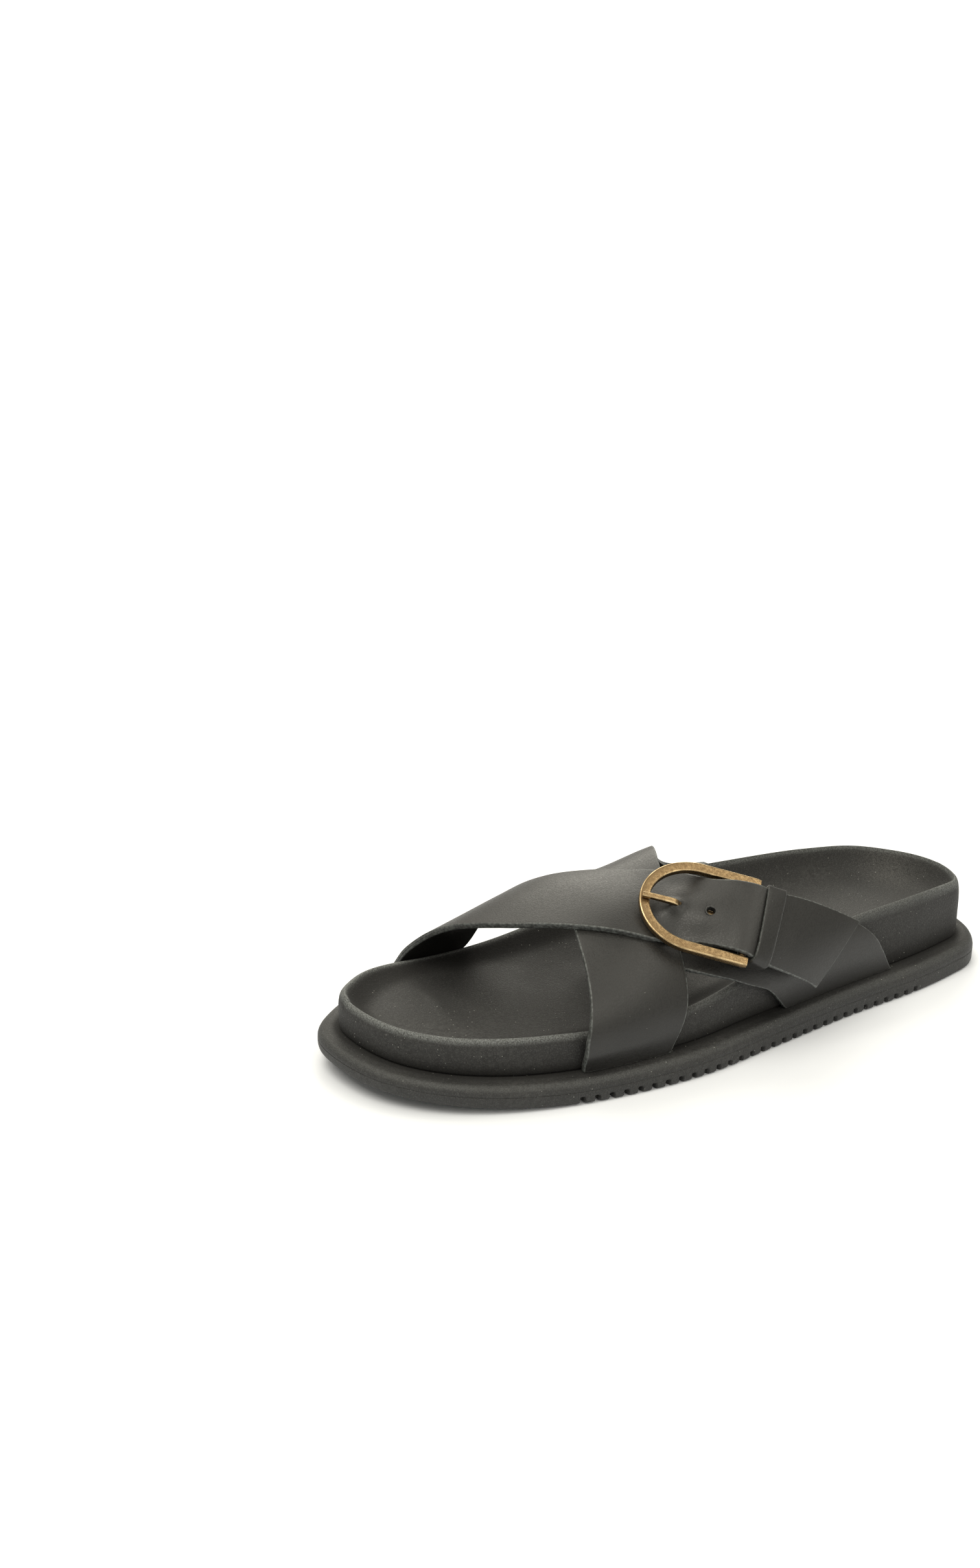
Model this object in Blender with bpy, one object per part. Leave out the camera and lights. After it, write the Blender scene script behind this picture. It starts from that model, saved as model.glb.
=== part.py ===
"""Slide sandal: moulded sole, dished footbed, two crossed straps, and a buckle with its strap and keeper.

Sizes are in millimetres and are turned into metres when a mesh is made. The toe points along -Y, the
outer side of this left shoe along +X, and Z is up from the floor. The sandal stands empty on its sole.
"""

import math

import bmesh
import bpy
import numpy as np
from mathutils import Matrix

MM = 0.001
CLEARANCE = 0.3

# Footbed outline: a row for each station, from heel (0) to toe (1), with the outer and inner edge.
FOOTBED_LENGTH = 256.0
HEEL_TIP_X = 4.7
TOE_TIP_X = -12.2
OUTLINE = (
    # station, outer x, inner x
    (0.03, 23.8, -14.8),
    (0.08, 28.0, -27.0),
    (0.16, 31.8, -31.9),
    (0.30, 35.3, -29.8),
    (0.45, 40.7, -32.2),
    (0.58, 45.1, -40.5),
    (0.70, 43.7, -43.7),
    (0.82, 37.8, -44.4),
    (0.92, 26.1, -37.6),
    (0.97, 13.6, -27.7),
)
# Height of the footbed's rim above the flange, on the outer and the inner side, and of its floor.
RIM = (
    # station, outer rim, inner rim, floor
    (0.00, 22.8, 22.7, 14.0),
    (0.15, 24.6, 24.0, 12.5),
    (0.30, 23.5, 27.8, 13.5),
    (0.45, 17.4, 27.4, 12.5),
    (0.60, 12.0, 16.7, 9.0),
    (0.80, 13.2, 9.8, 7.0),
    (0.92, 12.6, 12.2, 7.6),
    (1.00, 12.2, 13.4, 8.5),
)
RIM_INSET = 2.5

# Flange of the sole: a row for each station.
FLANGE = (
    # station, overhang, height
    (0.0, 7.1, 11.0),
    (0.5, 7.6, 10.6),
    (1.0, 7.6, 7.1),
)
TOE_SPRING = 6.2
TOE_SPRING_START = 0.68
NOTCHES = 30
NOTCH_FIRST_Y = -67.9
NOTCH_PITCH = 5.35
NOTCH_WIDTH = 1.6
NOTCH_WALL = 0.3
NOTCH_HEIGHT = 2.8
NOTCH_DEPTH = 2.4

# Outer face of the straps: a row for each section across the shoe.
STRAP_THICKNESS = 2.2
RIDGE_POWER = 4
FOOT = 20.0
ARCH = (
    # y, outer x, outer height, outer fullness, inner x, inner height, inner fullness, crown x, crown height
    (-100.0, 39.0, 16.0, 1.20, -46.2, 16.0, 0.72, -6.0, 32.5),
    (-85.0, 43.5, 17.0, 1.20, -47.7, 17.0, 0.62, -6.0, 38.0),
    (-70.0, 47.0, 18.0, 1.20, -48.3, 18.0, 0.62, -5.0, 43.8),
    (-55.0, 48.7, 19.0, 1.10, -47.0, 18.0, 0.76, -4.0, 49.2),
    (-40.0, 49.5, 20.0, 1.00, -45.2, 22.0, 0.85, -3.0, 53.4),
    (-20.0, 48.7, 21.0, 0.82, -41.5, 28.0, 0.66, -1.0, 55.6),
    (0.0, 46.8, 22.0, 0.82, -37.8, 33.0, 0.62, 0.0, 58.5),
    (25.0, 43.8, 24.0, 1.00, -35.5, 37.0, 0.60, 1.0, 58.0),
    (50.0, 40.5, 24.0, 1.20, -35.0, 36.0, 0.80, 1.0, 54.0),
    (80.0, 36.5, 22.0, 1.20, -34.8, 32.0, 1.00, 1.0, 50.0),
)

# Lower strap: a row for each station over the arch, in degrees from the outer side. A station below 0
# or above 180 lies on the foot of the strap, beside the footbed's wall.
LOWER_STRAP = (
    # station, front y, rear y, lift of the rear edge
    (-20.0, -65.0, -31.5, 0.0),
    (0.0, -65.8, -28.0, 0.0),
    (15.0, -63.7, -25.0, 0.0),
    (30.0, -60.8, -22.8, 0.0),
    (46.0, -57.4, -20.5, 0.0),
    (62.0, -53.7, -16.8, 0.0),
    (76.0, -49.5, -12.0, 0.8),
    (90.0, -44.5, -6.5, 2.0),
    (103.0, -37.0, -2.0, 3.0),
    (117.0, -27.0, 2.7, 2.8),
    (135.0, -13.0, 9.5, 1.4),
    (158.0, 3.0, 21.5, 0.0),
    (180.0, 15.0, 41.0, 0.0),
    (200.0, 26.0, 79.5, 0.0),
)
# Upper strap: a row for each line across it, from its inner foot to its tail.
UPPER_STRAP = (
    # front station, front y, rear station, rear y, front lift, rear lift, extra lift along its middle
    (200.0, -94.0, 200.0, -65.0, 0.0, 0.0, 0.0),
    (180.0, -93.3, 180.0, -63.5, 0.0, 0.0, 0.0),
    (163.0, -91.8, 164.0, -60.0, 0.6, 0.6, 0.0),
    (146.0, -89.5, 149.0, -56.5, 2.0, 2.0, 0.0),
    (130.0, -84.5, 136.0, -52.0, 3.2, 3.2, 0.0),
    (115.0, -79.5, 127.0, -46.5, 3.2, 3.2, 0.0),
    (101.0, -75.0, 117.0, -40.0, 2.7, 2.7, 0.0),
    (88.0, -68.5, 107.5, -32.5, 2.2, 2.2, 0.0),
    (73.0, -56.5, 98.5, -24.6, 2.0, 2.0, 0.0),
    (60.0, -44.2, 90.5, -19.3, 1.9, 1.9, 0.0),
    (49.8, -32.6, 83.2, -13.6, 1.7, 2.0, 0.6),
    (44.8, -23.4, 73.6, -6.3, 2.0, 2.6, 4.4),
    (39.8, -17.1, 62.3, -1.6, 5.6, 8.6, 2.6),
    (34.3, -11.2, 55.5, 4.9, 10.0, 12.4, 0.6),
    (28.9, -6.0, 50.1, 10.4, 13.8, 14.4, 0.0),
    (23.0, -0.2, 44.5, 16.7, 12.4, 12.6, 0.0),
    (13.3, 10.8, 36.9, 30.2, 9.6, 9.6, 0.0),
    (-2.2, 26.4, 21.1, 50.7, 7.6, 7.6, 0.0),
)
# Buckle strap: a row for each line across it, from its foot to its front end.
BUCKLE_STRAP = (
    # front station, front y, rear station, rear y, front lift, rear lift, extra lift along its middle
    (-20.0, 22.0, -20.0, 77.5, 0.0, 0.0, 0.0),
    (0.0, 10.5, 0.0, 69.5, 0.0, 0.0, 0.0),
    (10.0, 2.5, 14.0, 61.3, -0.2, -0.2, 0.0),
    (18.0, -5.0, 28.0, 49.0, -0.2, -0.2, 0.0),
    (24.0, -12.0, 42.0, 33.0, -0.2, -0.2, 0.0),
    (29.5, -18.8, 54.0, 14.0, -0.2, -0.2, 0.0),
    (32.0, -21.3, 60.0, -8.0, -0.2, -0.2, 0.0),
)
BUCKLE_STRAP_THICKNESS = 2.0

# Buckle: the middle of its bar, the way it points, and its sizes.
BAR_MIDDLE = (42.76, 3.31, 49.36)
BUCKLE_FORWARD = (-0.577, -0.784, 0.226)
BUCKLE_ACROSS = (0.596, -0.594, -0.541)
FRAME_LENGTH = 40.0
FRAME_HALF_WIDTH = 16.25
FRAME_STRAIGHT = 19.9
FRAME_BAND = 3.7
FRAME_HEIGHT = 2.9
FRAME_CHAMFER = 0.5
FRAME_END = -1.1
BAR_ALONG = 0.9
BAR_DROP = 0.8
BAR_RADIUS = 1.2
PRONG_RADIUS = 1.05
PRONG_EYE_RADIUS = 2.3
PRONG_EYE_HALF = 1.4
PRONG_EYE_ACROSS = 0.6
HOLE_CLEARANCE = 0.4
# Prong: a row for each bend, from the eye to the tip.
PRONG = (
    # along, across, height
    (2.6, 0.6, -0.6),
    (9.0, 0.6, -0.6),
    (19.5, 0.65, -0.5),
    (24.0, 0.75, 0.1),
    (27.5, 1.0, 1.5),
    (31.5, 1.4, 2.5),
    (36.5, 1.75, 2.8),
    (39.4, 1.95, 2.7),
)
SPARE_HOLE_ALONG = 14.6
SPARE_HOLE_ACROSS = 1.5
SPARE_HOLE_RADIUS = 1.6
# Keeper: the rows of the upper strap's table between which it lies.
KEEPER_ROWS = (14.5, 15.25)
KEEPER_THICKNESS = 1.3

MATERIALS = {
    # name: colour, roughness, metallic
    "sole_rubber": ((0.016, 0.016, 0.017), 0.62, 0.0),
    "footbed_rubber": ((0.022, 0.022, 0.023), 0.85, 0.0),
    "strap_leather": ((0.012, 0.012, 0.013), 0.42, 0.0),
    "buckle_strap_leather": ((0.012, 0.012, 0.013), 0.45, 0.0),
    "keeper_leather": ((0.012, 0.012, 0.013), 0.45, 0.0),
    "buckle_metal": ((0.36, 0.23, 0.11), 0.35, 1.0),
    "bar_metal": ((0.36, 0.23, 0.11), 0.38, 1.0),
    "prong_metal": ((0.36, 0.23, 0.11), 0.35, 1.0),
}


def clear_scene():
    """Remove every object of the open scene."""
    for item in list(bpy.data.objects):
        bpy.data.objects.remove(item, do_unlink=True)


def curve(knots, values, at):
    """Read a smooth curve through a table's points, with slopes from the neighbours on each side."""
    knots = np.asarray(knots, float)
    values = np.asarray(values, float)
    at = np.asarray(at, float)
    steps = np.diff(knots)
    rises = np.diff(values) / steps
    slopes = np.empty_like(values)
    slopes[0] = rises[0]
    slopes[-1] = rises[-1]
    slopes[1:-1] = (rises[:-1] * steps[1:] + rises[1:] * steps[:-1]) / (steps[:-1] + steps[1:])
    cell = np.clip(np.searchsorted(knots, at, side="right") - 1, 0, len(steps) - 1)
    span = steps[cell]
    part = (at - knots[cell]) / span
    inside = np.clip(part, 0.0, 1.0)
    start = values[cell]
    end = values[cell + 1]
    blend = inside * inside * (3.0 - 2.0 * inside)
    bend = inside * (1.0 - inside) * span
    read = start + (end - start) * blend
    read = read + bend * ((1.0 - inside) * slopes[cell] - inside * slopes[cell + 1])
    return read + (part - inside) * span * np.where(part > 1.0, slopes[-1], slopes[0])


def columns(table, at):
    """Read every column of a table at the given values of its first column."""
    rows = np.asarray(table, float)
    return [curve(rows[:, 0], rows[:, k], at) for k in range(1, rows.shape[1])]


def unit(vectors):
    """Scale vectors to length 1."""
    vectors = np.asarray(vectors, float)
    return vectors / np.linalg.norm(vectors, axis=-1, keepdims=True)


def outline(angles):
    """Footbed outline in plan: the angle runs from the heel along the outer side, the toe and back."""
    rows = np.asarray(OUTLINE, float)
    turn = np.arccos(1.0 - 2.0 * rows[:, 0])
    knots = np.concatenate([[0.0], turn, [math.pi], 2.0 * math.pi - turn[::-1]])
    across = np.concatenate([[HEEL_TIP_X], rows[:, 1], [TOE_TIP_X], rows[::-1, 2]])
    wrapped_knots = np.concatenate([knots[-3:] - 2.0 * math.pi, knots, knots[:3] + 2.0 * math.pi])
    wrapped_across = np.concatenate([across[-3:], across, across[:3]])
    angles = np.asarray(angles, float)
    x = curve(wrapped_knots, wrapped_across, angles)
    y = 0.5 * FOOTBED_LENGTH * np.cos(angles)
    return np.stack([x, y], axis=-1)


def outward(angles):
    """Outward normals of the footbed outline in plan."""
    step = 0.01
    along = unit(outline(angles + step) - outline(angles - step))
    return np.stack([-along[:, 1], along[:, 0]], axis=-1)


def station(y):
    """Station from heel to toe of a place along the shoe."""
    return np.clip(0.5 - np.asarray(y, float) / FOOTBED_LENGTH, 0.0, 1.0)


def sole_bottom(y):
    """Height of the sole's underside, which lifts towards the toe."""
    past = np.clip((station(y) - TOE_SPRING_START) / (1.0 - TOE_SPRING_START), 0.0, 1.0)
    return TOE_SPRING * past**2


def flange(y):
    """Overhang of the sole's flange, and the height of its top."""
    rows = np.asarray(FLANGE)
    overhang = np.interp(station(y), rows[:, 0], rows[:, 1])
    height = np.interp(station(y), rows[:, 0], rows[:, 2])
    return overhang, height


def wall_x(y, side):
    """Where a strap's outer face stands beside the footbed's wall, on the outer (1) or inner (-1) side."""
    turn = np.arccos(np.clip(2.0 * np.asarray(y, float) / FOOTBED_LENGTH, -0.98, 0.98))
    angles = turn if side > 0 else 2.0 * math.pi - turn
    shape = angles.shape
    normal = outward(angles.ravel())[:, 0].reshape(shape)
    return outline(angles)[..., 0] + (CLEARANCE + STRAP_THICKNESS) / normal


def arch(stations, y):
    """Point on the straps' common outer face, at a station over the arch and a place along the shoe."""
    stations, y = np.broadcast_arrays(np.asarray(stations, float), np.asarray(y, float))
    outer_x, outer_z, outer_full, inner_x, inner_z, inner_full, crown_x, crown_z = columns(ARCH, y)
    angle = np.radians(np.clip(stations, 0.0, 180.0))
    outer = np.cos(angle) >= 0.0
    side_x = np.where(outer, outer_x, inner_x)
    side_z = np.where(outer, outer_z, inner_z)
    fullness = np.where(outer, outer_full, inner_full)
    x = crown_x + (side_x - crown_x) * np.abs(np.cos(angle))
    z = side_z + (crown_z - side_z) * np.sin(angle) ** (1.0 / fullness)
    down = np.clip(np.maximum(-stations, stations - 180.0) / FOOT, 0.0, 1.0)
    base_x = np.where(outer, wall_x(y, 1), wall_x(y, -1))
    base_z = flange(y)[1] + sole_bottom(y) + CLEARANCE
    x = x + (base_x - x) * down * down * (3.0 - 2.0 * down)
    z = z + (base_z - z) * down
    return np.stack([x, y, z], axis=-1)


def arch_normal(stations, y):
    """Outward normals of the straps' common outer face."""
    turn = 2.0
    slide = 1.0
    over = arch(stations + turn, y) - arch(stations - turn, y)
    along = arch(stations, y + slide) - arch(stations, y - slide)
    return unit(np.cross(along, over))


def sheet(table, rows, across, thickness):
    """Outer and inner points of a strap laid on the arch, from a table of lines across it."""
    table = np.asarray(table, float)
    count = np.arange(len(table))
    at = np.linspace(0.0, len(table) - 1.0, rows)
    lines = (curve(count, table[:, k], at)[:, None] for k in range(7))
    front, front_y, rear, rear_y, front_lift, rear_lift, ridge = lines
    part = np.linspace(0.0, 1.0, across)[None, :]
    stations = front + (rear - front) * part
    y = front_y + (rear_y - front_y) * part
    height = front_lift + (rear_lift - front_lift) * part
    height = height + ridge * (1.0 - (2.0 * part - 1.0) ** 2) ** RIDGE_POWER
    normal = arch_normal(stations, y)
    outer = arch(stations, y) + normal * height[..., None]
    down = unit(np.cross(np.gradient(outer, axis=0), np.gradient(outer, axis=1)))
    down = np.where((down * normal).sum(-1, keepdims=True) > 0.0, -down, down)
    return outer, outer + down * thickness


def make_object(name, points, faces, material):
    """Make a closed mesh object from points in millimetres, with its faces turned outwards."""
    mesh = bpy.data.meshes.new(name)
    mesh.from_pydata([tuple(p) for p in np.asarray(points) * MM], [], faces)
    grown = bmesh.new()
    grown.from_mesh(mesh)
    bmesh.ops.triangulate(grown, faces=[f for f in grown.faces if len(f.verts) > 3])
    bmesh.ops.recalc_face_normals(grown, faces=grown.faces)
    grown.to_mesh(mesh)
    grown.free()
    item = bpy.data.objects.new(name, mesh)
    bpy.context.collection.objects.link(item)
    item.data.materials.append(make_material(material))
    return item


def make_material(name):
    """Make a plain material from its row of colour, roughness and metallic value."""
    colour, roughness, metallic = MATERIALS[name]
    material = bpy.data.materials.new(name)
    material.use_nodes = True
    shader = material.node_tree.nodes["Principled BSDF"]
    shader.inputs["Base Color"].default_value = (*colour, 1.0)
    shader.inputs["Roughness"].default_value = roughness
    shader.inputs["Metallic"].default_value = metallic
    return material


def ring_faces(rings, count):
    """Faces between rings of points that follow each other."""
    faces = []
    for ring in range(rings - 1):
        for k in range(count):
            after = (k + 1) % count
            low = ring * count
            high = low + count
            faces.append((low + k, low + after, high + after, high + k))
    return faces


def ladder(first, count):
    """Faces across a closed ring whose points pair up left and right of its first point."""
    half = count // 2
    faces = [(first, first + 1, first + count - 1)]
    for k in range(1, half - 1):
        faces.append((first + k, first + k + 1, first + count - k - 1, first + count - k))
    faces.append((first + half - 1, first + half, first + half + 1))
    return faces


def strap_object(name, outer, inner, material):
    """Closed solid between the outer and the inner points of a strap."""
    rows, across = outer.shape[:2]
    points = np.concatenate([outer.reshape(-1, 3), inner.reshape(-1, 3)])
    size = rows * across
    faces = []
    for i in range(rows - 1):
        for j in range(across - 1):
            a = i * across + j
            quad = (a, a + 1, a + across + 1, a + across)
            faces.append(quad)
            faces.append(tuple(size + k for k in reversed(quad)))
    for i in range(rows - 1):
        for j in (0, across - 1):
            a = i * across + j
            faces.append((a, a + across, size + a + across, size + a))
    for j in range(across - 1):
        for i in (0, rows - 1):
            a = i * across + j
            faces.append((a, a + 1, size + a + 1, size + a))
    return make_object(name, points, faces, material)


def tube_object(name, path, radius, up, material, sides=8):
    """Closed round bar along a path, with its section turned by the up direction."""
    path = np.asarray(path, float)
    along = unit(np.gradient(path, axis=0))
    side = unit(np.cross(along, up))
    top = np.cross(side, along)
    turn = np.linspace(0.0, 2.0 * math.pi, sides, endpoint=False) + math.pi / sides
    circle = np.cos(turn)[None, :, None] * side[:, None, :] + np.sin(turn)[None, :, None] * top[:, None, :]
    points = (path[:, None, :] + radius * circle).reshape(-1, 3)
    faces = ring_faces(len(path), sides)
    faces.append(tuple(range(sides)))
    faces.append(tuple(range((len(path) - 1) * sides, len(path) * sides)))
    return make_object(name, points, faces, material)


def apply_boolean(item, tool, operation):
    """Apply a Boolean with another object, then remove that object."""
    modifier = item.modifiers.new("boolean", "BOOLEAN")
    modifier.operation = operation
    modifier.solver = "EXACT"
    modifier.object = tool
    bpy.context.view_layer.update()
    evaluated = item.evaluated_get(bpy.context.evaluated_depsgraph_get())
    mesh = bpy.data.meshes.new_from_object(evaluated)
    item.modifiers.clear()
    item.data = mesh
    bpy.data.objects.remove(tool, do_unlink=True)


def sole_angles():
    """Angles round the sole, even at both ends and four for each notch between them."""
    dense = np.linspace(0.0, math.pi, 721)
    plan = outline(dense)
    edge = plan + outward(dense) * flange(plan[:, 1])[0][:, None]
    centres = NOTCH_FIRST_Y + NOTCH_PITCH * np.arange(NOTCHES)
    offsets = np.array([-0.5, -0.5, 0.5, 0.5]) * NOTCH_WIDTH
    offsets = offsets + np.array([-1.0, 1.0, -1.0, 1.0]) * 0.5 * NOTCH_WALL
    notch_y = (centres[:, None] + offsets[None, :]).ravel()[::-1]
    depth = np.tile([0.0, 1.0, 1.0, 0.0], NOTCHES)
    turn = np.interp(-notch_y, -edge[:, 1], dense)
    ends = 12
    heel = np.linspace(0.0, turn[0], ends, endpoint=False)
    toe = np.linspace(turn[-1], math.pi, ends + 1)[1:]
    side = np.concatenate([heel, turn, toe])
    cut = np.concatenate([np.zeros(ends), depth, np.zeros(ends)])
    angles = np.concatenate([side, 2.0 * math.pi - side[-2:0:-1]])
    return angles, np.concatenate([cut, cut[-2:0:-1]])


def build_outsole():
    """Moulded sole: a slab with a rounded flange, a lifted toe and notches along both sides."""
    angles, cut = sole_angles()
    plan = outline(angles)
    normal = outward(angles)
    overhang, height = flange(plan[:, 1])
    low = sole_bottom(plan[:, 1])
    solid = 1.0 - cut
    profile = (
        # inset of a tooth, inset of a notch, height of a tooth, height of a notch
        (1.3, NOTCH_DEPTH + 1.3, 0.0 * height, 0.0 * height),
        (0.3, NOTCH_DEPTH, 0.0 * height + 0.6, 0.0 * height + 0.6),
        (0.0, NOTCH_DEPTH - 0.2, 0.0 * height + 1.5, 0.0 * height + NOTCH_HEIGHT - 0.7),
        (0.0, 0.1, 0.0 * height + NOTCH_HEIGHT + 0.1, 0.0 * height + NOTCH_HEIGHT),
        (0.0, 0.0, 0.62 * height, 0.62 * height),
        (0.9, 0.9, 0.90 * height, 0.90 * height),
        (2.6, 2.6, height, height),
    )
    rings = []
    for tooth, notch, tooth_height, notch_height in profile:
        reach = overhang - tooth * solid - notch * cut
        z = low + tooth_height * solid + notch_height * cut
        rings.append(np.column_stack([plan + normal * reach[:, None], z]))
    count = len(angles)
    faces = ring_faces(len(rings), count)
    faces += ladder(0, count)
    faces += ladder((len(rings) - 1) * count, count)
    return make_object("outsole", np.concatenate(rings), faces, "sole_rubber")


def build_footbed():
    """Dished footbed: an outer wall, a rounded rim and rings that run down to a line along its floor."""
    around = 76
    angles = np.linspace(0.0, 2.0 * math.pi, around, endpoint=False)
    plan = outline(angles)
    normal = outward(angles)
    along = station(plan[:, 1])
    outer_rim, inner_rim, floor = columns(RIM, along)
    rim = np.where(angles <= math.pi, outer_rim, inner_rim)
    base = flange(plan[:, 1])[1] + sole_bottom(plan[:, 1]) + CLEARANCE
    wall = ((0.6, 0.0), (0.0, 0.08), (0.0, 0.55), (0.4, 0.84), (1.2, 0.965), (RIM_INSET, 1.0))
    rings = []
    for inset, part in wall:
        rings.append(np.column_stack([plan - normal * inset, base + rim * part]))
    crest = rings[-1]
    end = 0.5 * FOOTBED_LENGTH - 34.0
    spine_y = np.clip(plan[:, 1], -end, end)
    turn = np.arccos(2.0 * spine_y / FOOTBED_LENGTH)
    spine_x = 0.5 * (outline(turn)[:, 0] + outline(2.0 * math.pi - turn)[:, 0])
    spine = np.column_stack([spine_x, spine_y])
    spine_base = flange(spine_y)[1] + sole_bottom(spine_y) + CLEARANCE
    spine_floor = columns(RIM, station(spine_y))[2]
    for part in (0.93, 0.82, 0.66, 0.45, 0.2):
        place = spine + (crest[:, :2] - spine) * part
        depth = spine_base + spine_floor
        rise = (crest[:, 2] - depth) * part**3.2
        rings.append(np.column_stack([place, depth + rise]))
    points = np.concatenate(rings)
    faces = ring_faces(len(rings), around)
    faces += ladder(0, around)
    faces += ladder((len(rings) - 1) * around, around)
    return make_object("footbed", points, faces, "footbed_rubber")


def buckle_axes():
    """Directions of the buckle: forward along it, across it towards the outer side, and up from it."""
    forward = unit(BUCKLE_FORWARD)
    across = np.asarray(BUCKLE_ACROSS) - np.dot(BUCKLE_ACROSS, forward) * forward
    across = unit(across)
    return forward, across, np.cross(forward, across)


def in_buckle(along, across, height):
    """Point at a place in the buckle's own directions, from the middle of its bar."""
    forward, side, up = buckle_axes()
    along, across, height = np.broadcast_arrays(*(np.asarray(v, float) for v in (along, across, height)))
    place = along[..., None] * forward + across[..., None] * side + height[..., None] * up
    return np.asarray(BAR_MIDDLE) + place


def build_upper():
    """Two crossed straps joined into one solid, with the holes for the prong and a spare hole."""
    lower = np.asarray(LOWER_STRAP, float)
    flat = 0.0 * lower[:, 0]
    lines = np.column_stack([lower[:, 0], lower[:, 1], lower[:, 0], lower[:, 2], flat, lower[:, 3], flat])
    outer, inner = sheet(lines, 34, 9, STRAP_THICKNESS)
    upper = strap_object("upper", outer, inner, "strap_leather")
    outer, inner = sheet(UPPER_STRAP, 52, 9, STRAP_THICKNESS)
    over = strap_object("over_strap", outer, inner, "strap_leather")
    apply_boolean(upper, over, "UNION")
    hole = prong_tube("prong_hole", PRONG_RADIUS + HOLE_CLEARANCE)
    apply_boolean(upper, hole, "DIFFERENCE")
    reach = 12.0
    path = in_buckle(SPARE_HOLE_ALONG, SPARE_HOLE_ACROSS, np.array([-0.2 * reach, reach]))
    spare = tube_object("spare_hole", path, SPARE_HOLE_RADIUS, buckle_axes()[0], "strap_leather", 12)
    apply_boolean(upper, spare, "DIFFERENCE")
    return upper


def build_buckle_strap():
    """Outer rear strap that carries the buckle."""
    outer, inner = sheet(BUCKLE_STRAP, 22, 7, BUCKLE_STRAP_THICKNESS)
    return strap_object("buckle_strap", outer, inner, "buckle_strap_leather")


def build_buckle_frame():
    """Horseshoe frame: two straight legs joined by a half ellipse, of a square section with chamfers."""
    legs = np.linspace(FRAME_END, FRAME_STRAIGHT, 4, endpoint=False)
    turn = np.linspace(0.0, math.pi, 25)
    half = FRAME_HALF_WIDTH
    bow = FRAME_LENGTH - 0.5 * FRAME_BAND - FRAME_STRAIGHT
    along = np.concatenate([legs, FRAME_STRAIGHT + bow * np.sin(turn), legs[::-1]])
    across = np.concatenate([0.0 * legs + half, half * np.cos(turn), 0.0 * legs - half])
    path = in_buckle(along, across, 0.0)
    up = buckle_axes()[2]
    side = unit(np.cross(np.gradient(path, axis=0), up))
    wide = 0.5 * FRAME_BAND
    high = 0.5 * FRAME_HEIGHT
    corner = FRAME_CHAMFER
    section = (
        (wide, high - corner),
        (wide - corner, high),
        (corner - wide, high),
        (-wide, high - corner),
        (-wide, corner - high),
        (corner - wide, -high),
        (wide - corner, -high),
        (wide, corner - high),
    )
    points = np.stack([path + side * s + up * h for s, h in section], axis=1)
    sides = len(section)
    faces = ring_faces(len(path), sides)
    faces.append(tuple(range(sides)))
    faces.append(tuple(range((len(path) - 1) * sides, len(path) * sides)))
    return make_object("buckle_frame", points.reshape(-1, 3), faces, "buckle_metal")


def build_buckle_bar():
    """Round bar between the legs of the frame."""
    reach = FRAME_HALF_WIDTH - 0.5 * FRAME_BAND - CLEARANCE
    path = in_buckle(BAR_ALONG, np.array([-reach, reach]), -BAR_DROP)
    return tube_object("buckle_bar", path, BAR_RADIUS, buckle_axes()[2], "bar_metal", 12)


def prong_tube(name, radius):
    """Round tongue along the bends of the prong's table."""
    rows = np.asarray(PRONG)
    count = np.arange(len(rows))
    at = np.linspace(0.0, len(rows) - 1.0, 22)
    path = in_buckle(*(curve(count, rows[:, k], at) for k in range(3)))
    return tube_object(name, path, radius, buckle_axes()[2], "prong_metal")


def build_buckle_prong():
    """Tongue with an eye round the bar."""
    prong = prong_tube("buckle_prong", PRONG_RADIUS)
    turn = np.linspace(0.0, 2.0 * math.pi, 17)[:-1]
    bore = BAR_RADIUS + CLEARANCE
    rings = []
    for radius, side in ((PRONG_EYE_RADIUS, -1.0), (PRONG_EYE_RADIUS, 1.0), (bore, 1.0), (bore, -1.0)):
        along = BAR_ALONG + radius * np.cos(turn)
        height = radius * np.sin(turn) - BAR_DROP
        rings.append(in_buckle(along, PRONG_EYE_ACROSS + PRONG_EYE_HALF * side, height))
    points = np.concatenate(rings)
    faces = ring_faces(4, len(turn))
    for k in range(len(turn)):
        after = (k + 1) % len(turn)
        faces.append((3 * len(turn) + k, 3 * len(turn) + after, after, k))
    eye = make_object("prong_eye", points, faces, "prong_metal")
    apply_boolean(prong, eye, "UNION")
    return prong


def build_keeper():
    """Leather loop round the tail, from above it down to the buckle strap."""
    table = np.asarray(UPPER_STRAP, float)
    count = np.arange(len(table))
    steps = 8
    rings = []
    for row, grown in ((0, 0.0), (1, 0.0), (1, KEEPER_THICKNESS), (0, KEEPER_THICKNESS)):
        values = (curve(count, table[:, k], KEEPER_ROWS[row]) for k in range(6))
        front, front_y, rear, rear_y, front_lift, rear_lift = values
        ends = arch(np.array([front, rear]), np.array([front_y, rear_y]))
        margin = (CLEARANCE + grown) / np.linalg.norm(ends[1] - ends[0])
        part = np.linspace(-margin, 1.0 + margin, steps)
        part = np.concatenate([part, part[::-1]])
        high = front_lift + (rear_lift - front_lift) * part[:steps] + CLEARANCE + grown
        low = 0.5 * CLEARANCE + KEEPER_THICKNESS - grown
        height = np.concatenate([high, np.full(steps, low)])
        stations = front + (rear - front) * part
        y = front_y + (rear_y - front_y) * part
        rings.append(arch(stations, y) + arch_normal(stations, y) * height[:, None])
    around = 2 * steps
    faces = ring_faces(4, around)
    for k in range(around):
        after = (k + 1) % around
        faces.append((3 * around + k, 3 * around + after, after, k))
    return make_object("keeper", np.concatenate(rings), faces, "keeper_leather")


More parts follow.
